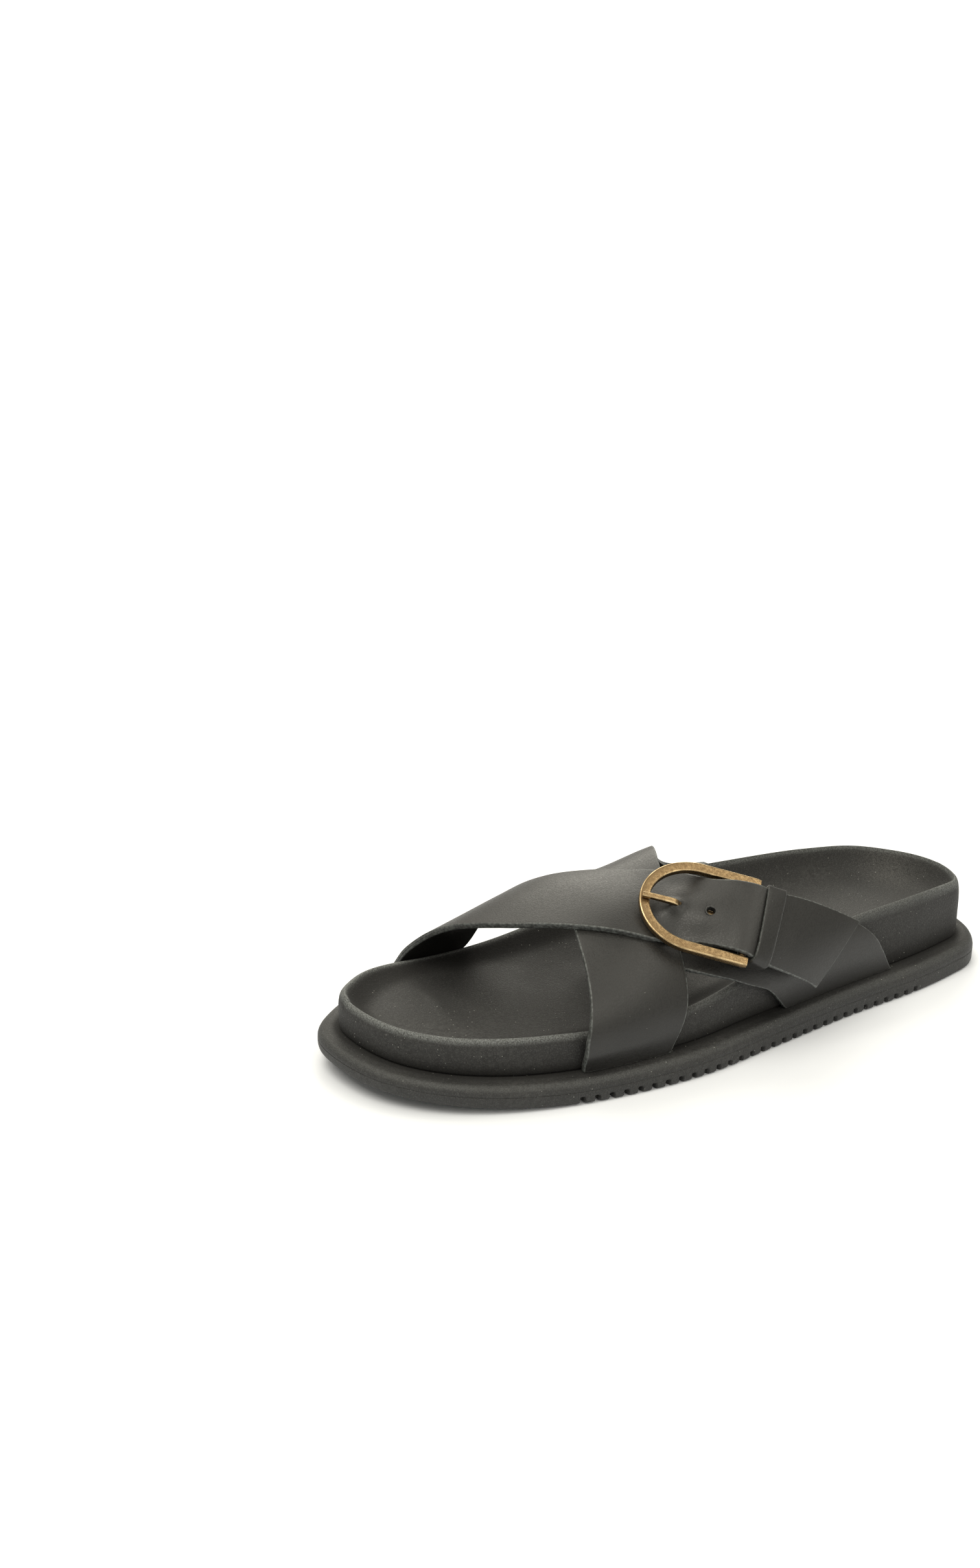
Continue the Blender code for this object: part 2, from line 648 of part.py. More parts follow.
def place_origin():
    """Move every mesh so that the middle of the sandal's base is the origin, and return the middle."""
    points = [v.co for item in bpy.data.objects for v in item.data.vertices]
    points = np.array(points)
    middle = 0.5 * (points.max(axis=0) + points.min(axis=0))
    middle[2] = 0.0
    for item in bpy.data.objects:
        item.data.transform(Matrix.Translation(-middle))
    return middle / MM


clear_scene()
build_outsole()
build_footbed()
build_upper()
build_buckle_strap()
build_buckle_frame()
build_buckle_bar()
build_buckle_prong()
build_keeper()
CENTRE = place_origin()
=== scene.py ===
"""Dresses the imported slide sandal: moulded sole, footbed, crossed leather straps and an antique brass buckle.

Sizes in the tables are millimetres in the shoemaker's frame: the toe points along -Y, the outer side of this
left shoe along +X, and Z is up from the floor. Meshes are made in metres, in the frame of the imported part.
"""

from __future__ import annotations

import logging
import math
from collections.abc import Callable
from dataclasses import dataclass
from enum import Enum

import bpy
import numpy as np
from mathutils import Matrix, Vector

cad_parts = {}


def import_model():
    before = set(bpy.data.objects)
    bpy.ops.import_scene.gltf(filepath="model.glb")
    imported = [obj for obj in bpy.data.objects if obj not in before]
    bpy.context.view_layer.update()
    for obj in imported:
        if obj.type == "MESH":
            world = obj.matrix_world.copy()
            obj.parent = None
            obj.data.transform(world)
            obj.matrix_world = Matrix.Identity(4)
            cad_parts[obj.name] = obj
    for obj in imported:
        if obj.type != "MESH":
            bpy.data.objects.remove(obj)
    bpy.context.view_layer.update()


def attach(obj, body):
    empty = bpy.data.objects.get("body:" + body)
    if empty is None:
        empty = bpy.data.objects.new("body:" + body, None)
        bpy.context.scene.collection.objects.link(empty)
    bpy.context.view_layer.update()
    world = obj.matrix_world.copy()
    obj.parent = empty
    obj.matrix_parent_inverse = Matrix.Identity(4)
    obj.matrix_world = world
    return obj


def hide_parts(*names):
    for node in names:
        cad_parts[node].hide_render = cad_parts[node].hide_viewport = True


LOG = logging.getLogger("sandal")
MM = 0.001
MERGE_DISTANCE = 0.002 * MM
BODY = "root"
PART_MIDDLE = np.array([1.873, -0.25, 0.0])
TUBE_UP = np.array([0.634, -0.150, 0.757])
TUBE_UP_IF_STEEP = np.array([0.0, 1.0, 0.0])
TUBE_STEEP = 0.9
Row = tuple[float, ...]
Colour = tuple[float, float, float]


class Side(Enum):
    """Sides of the shoe, as signs along X."""

    OUTER = 1
    INNER = -1


class Face(Enum):
    """Faces of a leather strap, as places in its list of materials."""

    GRAIN = 0
    CUT = 1


def unit(vectors: np.ndarray) -> np.ndarray:
    """Scale vectors to length 1."""
    vectors = np.asarray(vectors, float)
    return vectors / np.linalg.norm(vectors, axis=-1, keepdims=True)


def ease(values: np.ndarray, low: float, high: float) -> np.ndarray:
    """Smooth step from 0 at low to 1 at high."""
    part = np.clip((np.asarray(values, float) - low) / (high - low), 0.0, 1.0)
    return part * part * (3.0 - 2.0 * part)


def curve(knots: np.ndarray, values: np.ndarray, at: np.ndarray) -> np.ndarray:
    """Read a smooth curve through a table's points.

    Args:
        knots: places of the points, rising.
        values: values at those places.
        at: places to read; beyond the ends the curve runs on straight.

    Returns:
        The values read, in the shape of at.
    """
    knots = np.asarray(knots, float)
    values = np.asarray(values, float)
    at = np.asarray(at, float)
    steps = np.diff(knots)
    rises = np.diff(values) / steps
    slopes = np.empty_like(values)
    slopes[0] = rises[0]
    slopes[-1] = rises[-1]
    slopes[1:-1] = (rises[:-1] * steps[1:] + rises[1:] * steps[:-1]) / (steps[:-1] + steps[1:])
    cell = np.clip(np.searchsorted(knots, at, side="right") - 1, 0, len(steps) - 1)
    span = steps[cell]
    part = (at - knots[cell]) / span
    inside = np.clip(part, 0.0, 1.0)
    start = values[cell]
    end = values[cell + 1]
    blend = inside * inside * (3.0 - 2.0 * inside)
    bend = inside * (1.0 - inside) * span
    read = start + (end - start) * blend
    read = read + bend * ((1.0 - inside) * slopes[cell] - inside * slopes[cell + 1])
    return read + (part - inside) * span * np.where(part > 1.0, slopes[-1], slopes[0])


def columns(table: tuple[Row, ...], at: np.ndarray) -> list[np.ndarray]:
    """Read every column of a table at the given values of its first column."""
    rows = np.asarray(table, float)
    return [curve(rows[:, 0], rows[:, k], at) for k in range(1, rows.shape[1])]


def superellipse(turn: np.ndarray, squareness: float) -> tuple[np.ndarray, np.ndarray]:
    """Round section of half size 1 at some angles, which is a circle at a squareness of 2.

    Args:
        turn: angles round the section.
        squareness: power of the section.

    Returns:
        Places across and places up.
    """
    power = 2.0 / squareness
    wide = np.sign(np.cos(turn)) * np.abs(np.cos(turn)) ** power
    tall = np.sign(np.sin(turn)) * np.abs(np.sin(turn)) ** power
    return wide, tall


class Bench:
    """Modelling steps on one piece at a time, with Blender's own operators."""

    @staticmethod
    def clear() -> None:
        """Leave edit mode and deselect everything."""
        if bpy.context.mode != "OBJECT":
            bpy.ops.object.mode_set(mode="OBJECT")
        bpy.ops.object.select_all(action="DESELECT")

    @staticmethod
    def take(piece: bpy.types.Object) -> None:
        """Select one piece and make it active.

        Args:
            piece: the piece to work on.
        """
        Bench.clear()
        piece.select_set(True)
        bpy.context.view_layer.objects.active = piece

    @staticmethod
    def edit(piece: bpy.types.Object) -> None:
        """Open a piece in edit mode with all of it selected.

        Args:
            piece: the piece to open.
        """
        Bench.take(piece)
        bpy.ops.object.mode_set(mode="EDIT")
        bpy.ops.mesh.select_all(action="SELECT")

    @staticmethod
    def loft(name: str, points: np.ndarray, marks: dict[str, np.ndarray] | None = None) -> bpy.types.Object:
        """Shape a grid into a surface through rows of points, then close its seams and ends.

        Args:
            name: name of the piece.
            points: places in millimetres, shaped rows by columns by 3; a seam repeats its first line.
            marks: values to keep on the mesh, each shaped rows by columns.

        Returns:
            The new piece, closed and with its faces outwards.
        """
        rows, across = points.shape[:2]
        Bench.clear()
        bpy.ops.mesh.primitive_grid_add(x_subdivisions=across - 1, y_subdivisions=rows - 1)
        piece = bpy.context.active_object
        piece.name = name
        mesh = piece.data
        mesh.name = name
        placed = (points.reshape(-1, 3) - PART_MIDDLE) * MM
        mesh.vertices.foreach_set("co", placed.ravel())
        for mark, values in (marks or {}).items():
            layer = mesh.attributes.new(mark, "FLOAT", "POINT")
            layer.data.foreach_set("value", np.asarray(values, float).ravel())
        mesh.update()
        Bench.edit(piece)
        bpy.ops.mesh.remove_doubles(threshold=MERGE_DISTANCE)
        bpy.ops.mesh.select_all(action="SELECT")
        bpy.ops.mesh.fill_holes(sides=0)
        bpy.ops.mesh.select_all(action="SELECT")
        bpy.ops.mesh.normals_make_consistent(inside=False)
        bpy.ops.object.mode_set(mode="OBJECT")
        return piece

    @staticmethod
    def cut(piece: bpy.types.Object, tool: bpy.types.Object, operation: str) -> None:
        """Apply a Boolean with a second piece, then remove that piece.

        Args:
            piece: the piece to change.
            tool: the piece that cuts it or is joined to it.
            operation: DIFFERENCE or UNION.
        """
        Bench.take(piece)
        modifier = piece.modifiers.new("cut", "BOOLEAN")
        modifier.operation = operation
        modifier.solver = "EXACT"
        modifier.object = tool
        bpy.ops.object.modifier_apply(modifier=modifier.name)
        bpy.data.objects.remove(tool, do_unlink=True)

    @staticmethod
    def smooth(piece: bpy.types.Object, degrees: float) -> None:
        """Shade a piece smooth, apart from edges sharper than an angle."""
        Bench.take(piece)
        bpy.ops.object.shade_smooth_by_angle(angle=math.radians(degrees))

    @staticmethod
    def dress(piece: bpy.types.Object, materials: list[bpy.types.Material]) -> None:
        """Give a piece its materials, in order."""
        for material in materials:
            piece.data.materials.append(material)

    @staticmethod
    def seat(piece: bpy.types.Object, node: str, slot: str) -> bpy.types.Object:
        """Let a piece ride on the part and stand for a node of it.

        Args:
            piece: the finished piece.
            node: name of the node that it replaces.
            slot: name of its material slot; not used.

        Returns:
            The same piece.
        """
        Bench.clear()
        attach(piece, BODY)
        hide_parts(node)
        LOG.info("%s: %d faces", piece.name, len(piece.data.polygons))
        return piece


class Graph:
    """A node tree with short ways to add and join nodes."""

    def __init__(self, tree: bpy.types.NodeTree) -> None:
        """Keep the tree that nodes are added to."""
        self.tree = tree

    def add(self, kind: str, sockets: dict | None = None, **settings: object) -> bpy.types.Node:
        """Add a node.

        Args:
            kind: type of the node.
            sockets: values or outputs for its inputs, by name or place.
            settings: the node's own settings.

        Returns:
            The new node.
        """
        node = self.tree.nodes.new(kind)
        for name, value in settings.items():
            setattr(node, name, value)
        for name, value in (sockets or {}).items():
            self.feed(node.inputs[name], value)
        return node

    def feed(self, socket: bpy.types.NodeSocket, value: object) -> None:
        """Join an output to a socket, or set the socket's own value.

        Args:
            socket: the input to feed.
            value: an output to join to it, or a value.
        """
        if isinstance(value, bpy.types.NodeSocket):
            self.tree.links.new(value, socket)
        else:
            socket.default_value = value

    def math(self, operation: str, first: object, second: object = 0.0) -> bpy.types.NodeSocket:
        """Output of a calculation with two values."""
        return self.add("ShaderNodeMath", {0: first, 1: second}, operation=operation).outputs[0]

    def ramp(self, value: object, low: float, high: float, start: float, end: float) -> bpy.types.NodeSocket:
        """Output of a smooth change from start at low to end at high."""
        sockets = {0: value, 1: low, 2: high, 3: start, 4: end}
        return self.add("ShaderNodeMapRange", sockets, interpolation_type="SMOOTHSTEP").outputs[0]

    def mix(self, factor: object, first: object, second: object) -> bpy.types.NodeSocket:
        """Output of a mix of two colours."""
        first, second = ((*end, 1.0) if isinstance(end, tuple) else end for end in (first, second))
        return self.add("ShaderNodeMix", {0: factor, 6: first, 7: second}, data_type="RGBA").outputs[2]

    def noise(self, scale: object, detail: float, place: object = None) -> bpy.types.NodeSocket:
        """Output of a cloudy pattern on the piece."""
        sockets = {"Vector": place or self.place(), "Scale": scale, "Detail": detail}
        return self.add("ShaderNodeTexNoise", sockets).outputs[0]

    def cells(self, scale: object, place: object) -> bpy.types.NodeSocket:
        """Output of the distance to the nearest of many scattered points."""
        return self.add("ShaderNodeTexVoronoi", {"Vector": place, "Scale": scale}).outputs["Distance"]

    def place(self) -> bpy.types.NodeSocket:
        """Output of the place on the piece."""
        return self.add("ShaderNodeTexCoord").outputs["Object"]

    def mark(self, name: str) -> bpy.types.NodeSocket:
        """Output of a value kept on the mesh."""
        return self.add("ShaderNodeAttribute", attribute_name=name).outputs["Fac"]

    def group(self, tree: bpy.types.NodeTree, sockets: dict) -> bpy.types.Node:
        """Place a node group with its own values."""
        return self.add("ShaderNodeGroup", sockets, node_tree=tree)


class Effects:
    """Node groups that several finishes share, each made once."""

    def __init__(self) -> None:
        """Make every group."""
        self.grain = self.make_grain()
        self.granules = self.make_granules()
        self.dust = self.make_dust()
        self.rub = self.make_wear_and_highlight()

    @staticmethod
    def start(name: str, inputs: tuple[str, ...], outputs: tuple[str, ...]) -> tuple[Graph, object, object]:
        """Make a group with named sockets.

        Args:
            name: name of the group.
            inputs: names of its value inputs.
            outputs: names of its value outputs.

        Returns:
            The group's graph, its input node and its output node.
        """
        tree = bpy.data.node_groups.new(name, "ShaderNodeTree")
        for socket in inputs:
            tree.interface.new_socket(socket, in_out="INPUT", socket_type="NodeSocketFloat")
        for socket in outputs:
            tree.interface.new_socket(socket, in_out="OUTPUT", socket_type="NodeSocketFloat")
        graph = Graph(tree)
        return graph, graph.add("NodeGroupInput"), graph.add("NodeGroupOutput")

    def make_grain(self) -> bpy.types.NodeTree:
        """Fine pebbled grain of leather: its height, and a slow change of tone.

        Returns:
            The group's tree.
        """
        graph, given, out = self.start("leather_grain", ("Pebbles", "Tone size"), ("Height", "Tone"))
        place = graph.place()
        pebble = graph.cells(given.outputs["Pebbles"], place)
        pore = graph.noise(graph.math("MULTIPLY", given.outputs["Pebbles"], 1.7), 3.0, place)
        height = graph.math("ADD", graph.math("MULTIPLY", pebble, 0.6), graph.math("MULTIPLY", pore, 0.6))
        graph.feed(out.inputs["Height"], height)
        graph.feed(out.inputs["Tone"], graph.noise(given.outputs["Tone size"], 4.0, place))
        return graph.tree

    def make_granules(self) -> bpy.types.NodeTree:
        """Moulded granular skin of rubber: its height, a speckle, a slow change of tone and scuffs.

        Returns:
            The group's tree.
        """
        outputs = ("Height", "Speckle", "Tone", "Scuffs")
        graph, given, out = self.start("rubber_granules", ("Granules", "Tone size"), outputs)
        place = graph.place()
        coarse = graph.noise(given.outputs["Granules"], 2.0, place)
        fine = graph.noise(graph.math("MULTIPLY", given.outputs["Granules"], 2.1), 1.0, place)
        height = graph.math("ADD", graph.math("MULTIPLY", coarse, 0.6), fine)
        graph.feed(out.inputs["Height"], height)
        graph.feed(out.inputs["Speckle"], graph.ramp(fine, 0.46, 0.72, 0.0, 1.0))
        graph.feed(out.inputs["Tone"], graph.noise(given.outputs["Tone size"], 5.0, place))
        patch = graph.ramp(graph.noise(30.0, 3.0, place), 0.44, 0.78, 0.0, 1.0)
        scratch = graph.ramp(graph.noise(640.0, 5.0, place), 0.36, 0.70, 0.0, 1.0)
        graph.feed(out.inputs["Scuffs"], graph.math("MULTIPLY", patch, scratch))
        return graph.tree

    def make_dust(self) -> bpy.types.NodeTree:
        """Scattered pale specks of dust, thicker in some places.

        Returns:
            The group's tree.
        """
        graph, given, out = self.start("dust_specks", ("Spacing", "Size"), ("Specks",))
        place = graph.place()
        speck = graph.cells(given.outputs["Spacing"], place)
        near = graph.math("LESS_THAN", speck, given.outputs["Size"])
        patch = graph.ramp(graph.noise(38.0, 3.0, place), 0.45, 0.62, 0.15, 1.0)
        graph.feed(out.inputs["Specks"], graph.math("MULTIPLY", near, patch))
        return graph.tree

    def make_wear_and_highlight(self) -> bpy.types.NodeTree:
        """Rubbing wear along edges, broken up by a fine pattern; on the footbed's crest and the buckle's
        corners it also paints a highlight.

        Returns:
            The group's tree.
        """
        graph, given, out = self.start("edge_wear_and_highlight", ("Edge", "Breaks"), ("Wear and highlight",))
        place = graph.place()
        breaks = graph.ramp(graph.noise(given.outputs["Breaks"], 3.0, place), 0.36, 0.66, 0.25, 1.0)
        graph.feed(out.inputs["Wear and highlight"], graph.math("MULTIPLY", given.outputs["Edge"], breaks))
        return graph.tree


@dataclass(frozen=True)
class Finish:
    """A finish with a plain Principled material."""

    name: str
    colour: Colour
    roughness: float

    def start(self) -> tuple[bpy.types.Material, Graph, bpy.types.Node]:
        """Make the material with its plain values.

        Returns:
            The material, its graph and its shader.
        """
        material = bpy.data.materials.new(self.name)
        material.use_nodes = True
        material.diffuse_color = (*self.colour, 1.0)
        graph = Graph(material.node_tree)
        shader = material.node_tree.nodes["Principled BSDF"]
        shader.inputs["Base Color"].default_value = (*self.colour, 1.0)
        shader.inputs["Roughness"].default_value = self.roughness
        return material, graph, shader

    @staticmethod
    def raise_surface(
        graph: Graph, shader: bpy.types.Node, height: object, depth: float, strength: float
    ) -> None:
        """Feed a relief to the shader's normal.

        Args:
            graph: the material's graph.
            shader: its Principled shader.
            height: output that holds the height.
            depth: depth of the relief in millimetres.
            strength: share of the relief that shows.
        """
        sockets = {"Strength": strength, "Distance": depth * MM, "Height": height}
        graph.feed(shader.inputs["Normal"], graph.add("ShaderNodeBump", sockets).outputs[0])


@dataclass(frozen=True)
class GrainLeather(Finish):
    """Satin face of the straps, with a fine grain, rubbed edges and specks of dust."""

    lighter: Colour = (0.0120, 0.0116, 0.0105)
    rubbed: Colour = (0.085, 0.092, 0.088)
    speck: Colour = (0.12, 0.12, 0.115)
    pebbles: float = 1500.0
    tone_size: float = 46.0
    dust_spacing: float = 240.0
    dust_size: float = 0.04
    edge_width: float = 0.25
    breaks: float = 900.0
    depth: float = 0.09
    strength: float = 0.55

    def material(self, effects: Effects) -> bpy.types.Material:
        """Make the material.

        Args:
            effects: the node groups that finishes share.

        Returns:
            The new material.
        """
        material, graph, shader = self.start()
        grain = graph.group(effects.grain, {"Pebbles": self.pebbles, "Tone size": self.tone_size})
        dust = graph.group(effects.dust, {"Spacing": self.dust_spacing, "Size": self.dust_size})
        edge = graph.ramp(graph.mark("border"), 0.0, self.edge_width, 1.0, 0.0)
        rub = graph.group(effects.rub, {"Edge": edge, "Breaks": self.breaks})
        tone = graph.ramp(grain.outputs["Tone"], 0.35, 0.68, 0.0, 0.6)
        pores = graph.ramp(grain.outputs["Height"], 0.30, 0.72, 0.0, 0.6)
        colour = graph.mix(graph.math("ADD", tone, pores), self.colour, self.lighter)
        colour = graph.mix(rub.outputs["Wear and highlight"], colour, self.rubbed)
        colour = graph.mix(dust.outputs["Specks"], colour, self.speck)
        graph.feed(shader.inputs["Base Color"], colour)
        rough = graph.ramp(grain.outputs["Height"], 0.25, 0.75, self.roughness - 0.07, self.roughness + 0.09)
        graph.feed(shader.inputs["Roughness"], rough)
        self.raise_surface(graph, shader, grain.outputs["Height"], self.depth, self.strength)
        return material


@dataclass(frozen=True)
class CutLeather(Finish):
    """Raw leather in the walls of the holes, fibrous and dry."""

    fibre: Colour = (0.07, 0.075, 0.072)
    granules: float = 1500.0
    tone_size: float = 220.0
    depth: float = 0.25
    strength: float = 0.8

    def material(self, effects: Effects) -> bpy.types.Material:
        """Make the material.

        Args:
            effects: the node groups that finishes share.

        Returns:
            The new material.
        """
        material, graph, shader = self.start()
        granules = graph.group(effects.granules, {"Granules": self.granules, "Tone size": self.tone_size})
        pale = graph.ramp(granules.outputs["Tone"], 0.36, 0.62, 0.25, 1.0)
        share = graph.math("MULTIPLY", granules.outputs["Speckle"], pale)
        colour = graph.mix(share, self.colour, self.fibre)
        graph.feed(shader.inputs["Base Color"], colour)
        self.raise_surface(graph, shader, granules.outputs["Height"], self.depth, self.strength)
        return material


@dataclass(frozen=True)
class MouldedRubber(Finish):
    """Granular moulded rubber, rubbed paler along a marked border (on the footbed's crest a painted highlight),
    darkened by painted shade where another mark says so, with specks of dust.
    """

    paler: Colour = (0.016, 0.0156, 0.0148)
    grain: Colour = (0.050, 0.050, 0.048)
    napped: Colour = (0.085, 0.083, 0.078)
    rubbed: Colour = (0.150, 0.158, 0.154)
    speck: Colour = (0.30, 0.30, 0.275)
    # near-black of the painted shade in crevices, on the dish's inner slope and under the straps
    painted_shade: Colour = (0.0030, 0.0026, 0.0020)
    granules: float = 1100.0
    tone_size: float = 30.0
    depth: float = 0.24
    strength: float = 0.75
    grain_share: float = 0.6
    scuff_share: float = 0.5
    painted_shade_share: float = 0.8
    shade_roughness: float = 0.3
    # share of the paler rubbed colour along the border; on the footbed's crest this is a painted highlight
    rub_and_highlight_share: float = 1.0
    breaks: float = 2300.0
    dust_spacing: float = 430.0
    dust_size: float = 0.07

    def material(self, effects: Effects) -> bpy.types.Material:
        """Make the material.

        Args:
            effects: the node groups that finishes share.

        Returns:
            The new material.
        """
        material, graph, shader = self.start()
        granules = graph.group(effects.granules, {"Granules": self.granules, "Tone size": self.tone_size})
        dust = graph.group(effects.dust, {"Spacing": self.dust_spacing, "Size": self.dust_size})
        rub = graph.group(effects.rub, {"Edge": graph.mark("border"), "Breaks": self.breaks})
        tone = graph.ramp(granules.outputs["Tone"], 0.3, 0.72, 0.0, 0.8)
        colour = graph.mix(tone, self.colour, self.paler)
        speckle = graph.math("MULTIPLY", granules.outputs["Speckle"], self.grain_share)
        colour = graph.mix(speckle, colour, self.grain)
        scuffs = graph.math("MULTIPLY", granules.outputs["Scuffs"], self.scuff_share)
        colour = graph.mix(scuffs, colour, self.grain)
        fuzz = graph.ramp(granules.outputs["Height"], 0.45, 1.0, 0.1, 0.9)
        colour = graph.mix(graph.math("MULTIPLY", graph.mark("nap"), fuzz), colour, self.napped)
        # painted shade: this mark darkens the colour where shade falls in crevices and under the straps, and
        # dulls the roughness there
        painted_shade = graph.mark("painted_shade")
        colour = graph.mix(graph.math("MULTIPLY", painted_shade, self.painted_shade_share), colour, self.painted_shade)
        # on the footbed's crest the border paints a highlight line, beside the rim's real wear
        wear = graph.math("MULTIPLY", rub.outputs["Wear and highlight"], self.rub_and_highlight_share)
        colour = graph.mix(wear, colour, self.rubbed)
        colour = graph.mix(dust.outputs["Specks"], colour, self.speck)
        graph.feed(shader.inputs["Base Color"], colour)
        rough = graph.ramp(granules.outputs["Tone"], 0.3, 0.7, self.roughness - 0.08, self.roughness + 0.06)
        dull = graph.math("MULTIPLY", painted_shade, self.shade_roughness)
        graph.feed(shader.inputs["Roughness"], graph.math("ADD", rough, dull))
        self.raise_surface(graph, shader, granules.outputs["Height"], self.depth, self.strength)
        return material


@dataclass(frozen=True)
class AntiqueBrass(Finish):
    """Brass with a mottled brown patina, bright along its edges: rubbing wear, and a painted highlight there.
    """

    patina: Colour = (0.16, 0.104, 0.052)
    bright: Colour = (0.80, 0.62, 0.36)
    clouds: float = 900.0
    flecks: float = 3000.0
    breaks: float = 300.0
    depth: float = 0.05
    strength: float = 0.5

    def material(self, effects: Effects) -> bpy.types.Material:
        """Make the material.

        Args:
            effects: the node groups that finishes share.

        Returns:
            The new material.
        """
        material, graph, shader = self.start()
        shader.inputs["Metallic"].default_value = 1.0
        place = graph.place()
        cloud = graph.noise(self.clouds, 4.0, place)
        fleck = graph.noise(self.flecks, 2.0, place)
        mottle = graph.math("ADD", graph.math("MULTIPLY", cloud, 0.5), graph.math("MULTIPLY", fleck, 0.5))
        rub = graph.group(effects.rub, {"Edge": graph.mark("border"), "Breaks": self.breaks})
        colour = graph.mix(graph.ramp(mottle, 0.34, 0.70, 0.1, 0.9), self.patina, self.colour)
        # bright edges: rubbing wear, and a painted highlight along the corners of the frame and the tongue
        colour = graph.mix(rub.outputs["Wear and highlight"], colour, self.bright)
        graph.feed(shader.inputs["Base Color"], colour)
        rough = graph.ramp(mottle, 0.38, 0.62, self.roughness + 0.14, self.roughness - 0.04)
        graph.feed(shader.inputs["Roughness"], rough)
        self.raise_surface(graph, shader, mottle, self.depth, self.strength)
        return material


@dataclass(frozen=True)
class StudioFloor(Finish):
    """Matt pale floor, slightly uneven in tone."""

    shade: float = 0.985
    tone_size: float = 3.0

    def material(self) -> bpy.types.Material:
        """Make the material.

        Returns:
            The new material.
        """
        material, graph, shader = self.start()
        tone = graph.noise(self.tone_size, 2.0)
        shade = tuple(self.shade * value for value in self.colour)
        graph.feed(shader.inputs["Base Color"], graph.mix(tone, self.colour, shade))
        return material


@dataclass
class Last:
    """The shoemaker's form: the footbed's plan and rim, the sole's flange and the straps' arch."""

    clearance: float = 0.3
    strap_thickness: float = 2.2
    length: float = 256.0
    heel_tip_x: float = 4.7
    toe_tip_x: float = -12.2
    plan: tuple[Row, ...] = (
        # station, outer x, inner x
        (0.03, 23.8, -14.8),
        (0.08, 28.0, -27.0),
        (0.16, 31.8, -31.9),
        (0.30, 35.3, -29.8),
        (0.45, 40.7, -32.2),
        (0.58, 45.1, -40.5),
        (0.70, 43.7, -43.7),
        (0.82, 37.8, -44.4),
        (0.92, 26.1, -37.6),
        (0.97, 13.6, -27.7),
    )
    rim: tuple[Row, ...] = (
        # station, outer rim, inner rim, floor
        (0.00, 22.8, 22.7, 14.0),
        (0.15, 24.6, 24.0, 12.5),
        (0.30, 23.5, 27.8, 13.5),
        (0.45, 17.4, 27.4, 12.5),
        (0.60, 12.0, 16.7, 9.0),
        (0.80, 13.2, 9.8, 7.0),
        (0.92, 12.6, 12.2, 7.6),
        (1.00, 12.2, 13.4, 8.5),
    )
    flange_rows: tuple[Row, ...] = (
        # station, overhang, height
        (0.0, 7.1, 11.0),
        (0.5, 7.6, 10.6),
        (1.0, 7.6, 7.1),
    )
    toe_spring: float = 6.2
    toe_spring_start: float = 0.68
    foot: float = 20.0
    arch_rows: tuple[Row, ...] = (
        # y; x, height and fullness of the outer side; the same of the inner side; x and height of the crown
        (-100.0, 39.0, 16.0, 1.20, -46.2, 16.0, 0.72, -6.0, 32.5),
        (-85.0, 43.5, 17.0, 1.20, -47.7, 17.0, 0.62, -6.0, 38.0),
        (-70.0, 47.0, 18.0, 1.20, -48.3, 18.0, 0.62, -5.0, 43.8),
        (-55.0, 48.7, 19.0, 1.10, -47.0, 18.0, 0.76, -4.0, 49.2),
        (-40.0, 49.5, 20.0, 1.00, -45.2, 22.0, 0.85, -3.0, 53.4),
        (-20.0, 48.7, 21.0, 0.82, -41.5, 28.0, 0.66, -1.0, 55.6),
        (0.0, 46.8, 22.0, 0.82, -37.8, 33.0, 0.62, 0.0, 58.5),
        (25.0, 43.8, 24.0, 1.00, -35.5, 37.0, 0.60, 1.0, 58.0),
        (50.0, 40.5, 24.0, 1.20, -35.0, 36.0, 0.80, 1.0, 54.0),
        (80.0, 36.5, 22.0, 1.20, -34.8, 32.0, 1.00, 1.0, 50.0),
    )

    def outline(self, angles: np.ndarray) -> np.ndarray:
        """Plan of the footbed; the angle runs from the heel along the outer side, the toe and back.

        Args:
            angles: angles round the plan.

        Returns:
            Places in millimetres, x and y.
        """
        rows = np.asarray(self.plan, float)
        turn = np.arccos(1.0 - 2.0 * rows[:, 0])
        knots = np.concatenate([[0.0], turn, [math.pi], 2.0 * math.pi - turn[::-1]])
        across = np.concatenate([[self.heel_tip_x], rows[:, 1], [self.toe_tip_x], rows[::-1, 2]])
        wrapped_knots = np.concatenate([knots[-3:] - 2.0 * math.pi, knots, knots[:3] + 2.0 * math.pi])
        wrapped_across = np.concatenate([across[-3:], across, across[:3]])
        angles = np.asarray(angles, float)
        x = curve(wrapped_knots, wrapped_across, angles)
        return np.stack([x, 0.5 * self.length * np.cos(angles)], axis=-1)

    def outward(self, angles: np.ndarray) -> np.ndarray:
        """Outward normals of the footbed's plan.

        Args:
            angles: angles round the plan.

        Returns:
            Unit vectors, x and y.
        """
        step = 0.01
        along = unit(self.outline(angles + step) - self.outline(angles - step))
        return np.stack([-along[..., 1], along[..., 0]], axis=-1)

    def station(self, y: np.ndarray) -> np.ndarray:
        """Station from heel to toe of a place along the shoe."""
        return np.clip(0.5 - np.asarray(y, float) / self.length, 0.0, 1.0)

    def bottom(self, y: np.ndarray) -> np.ndarray:
        """Height of the sole's underside, which lifts towards the toe.

        Args:
            y: place along the shoe.

        Returns:
            Heights in millimetres.
        """
        start = self.toe_spring_start
        past = np.clip((self.station(y) - start) / (1.0 - start), 0.0, 1.0)
        return self.toe_spring * past**2

    def flange(self, y: np.ndarray) -> tuple[np.ndarray, np.ndarray]:
        """Overhang of the sole's flange, and the height of its top above the underside.

        Args:
            y: place along the shoe.

        Returns:
            Overhangs and heights in millimetres.
        """
        rows = np.asarray(self.flange_rows)
        where = self.station(y)
        return np.interp(where, rows[:, 0], rows[:, 1]), np.interp(where, rows[:, 0], rows[:, 2])

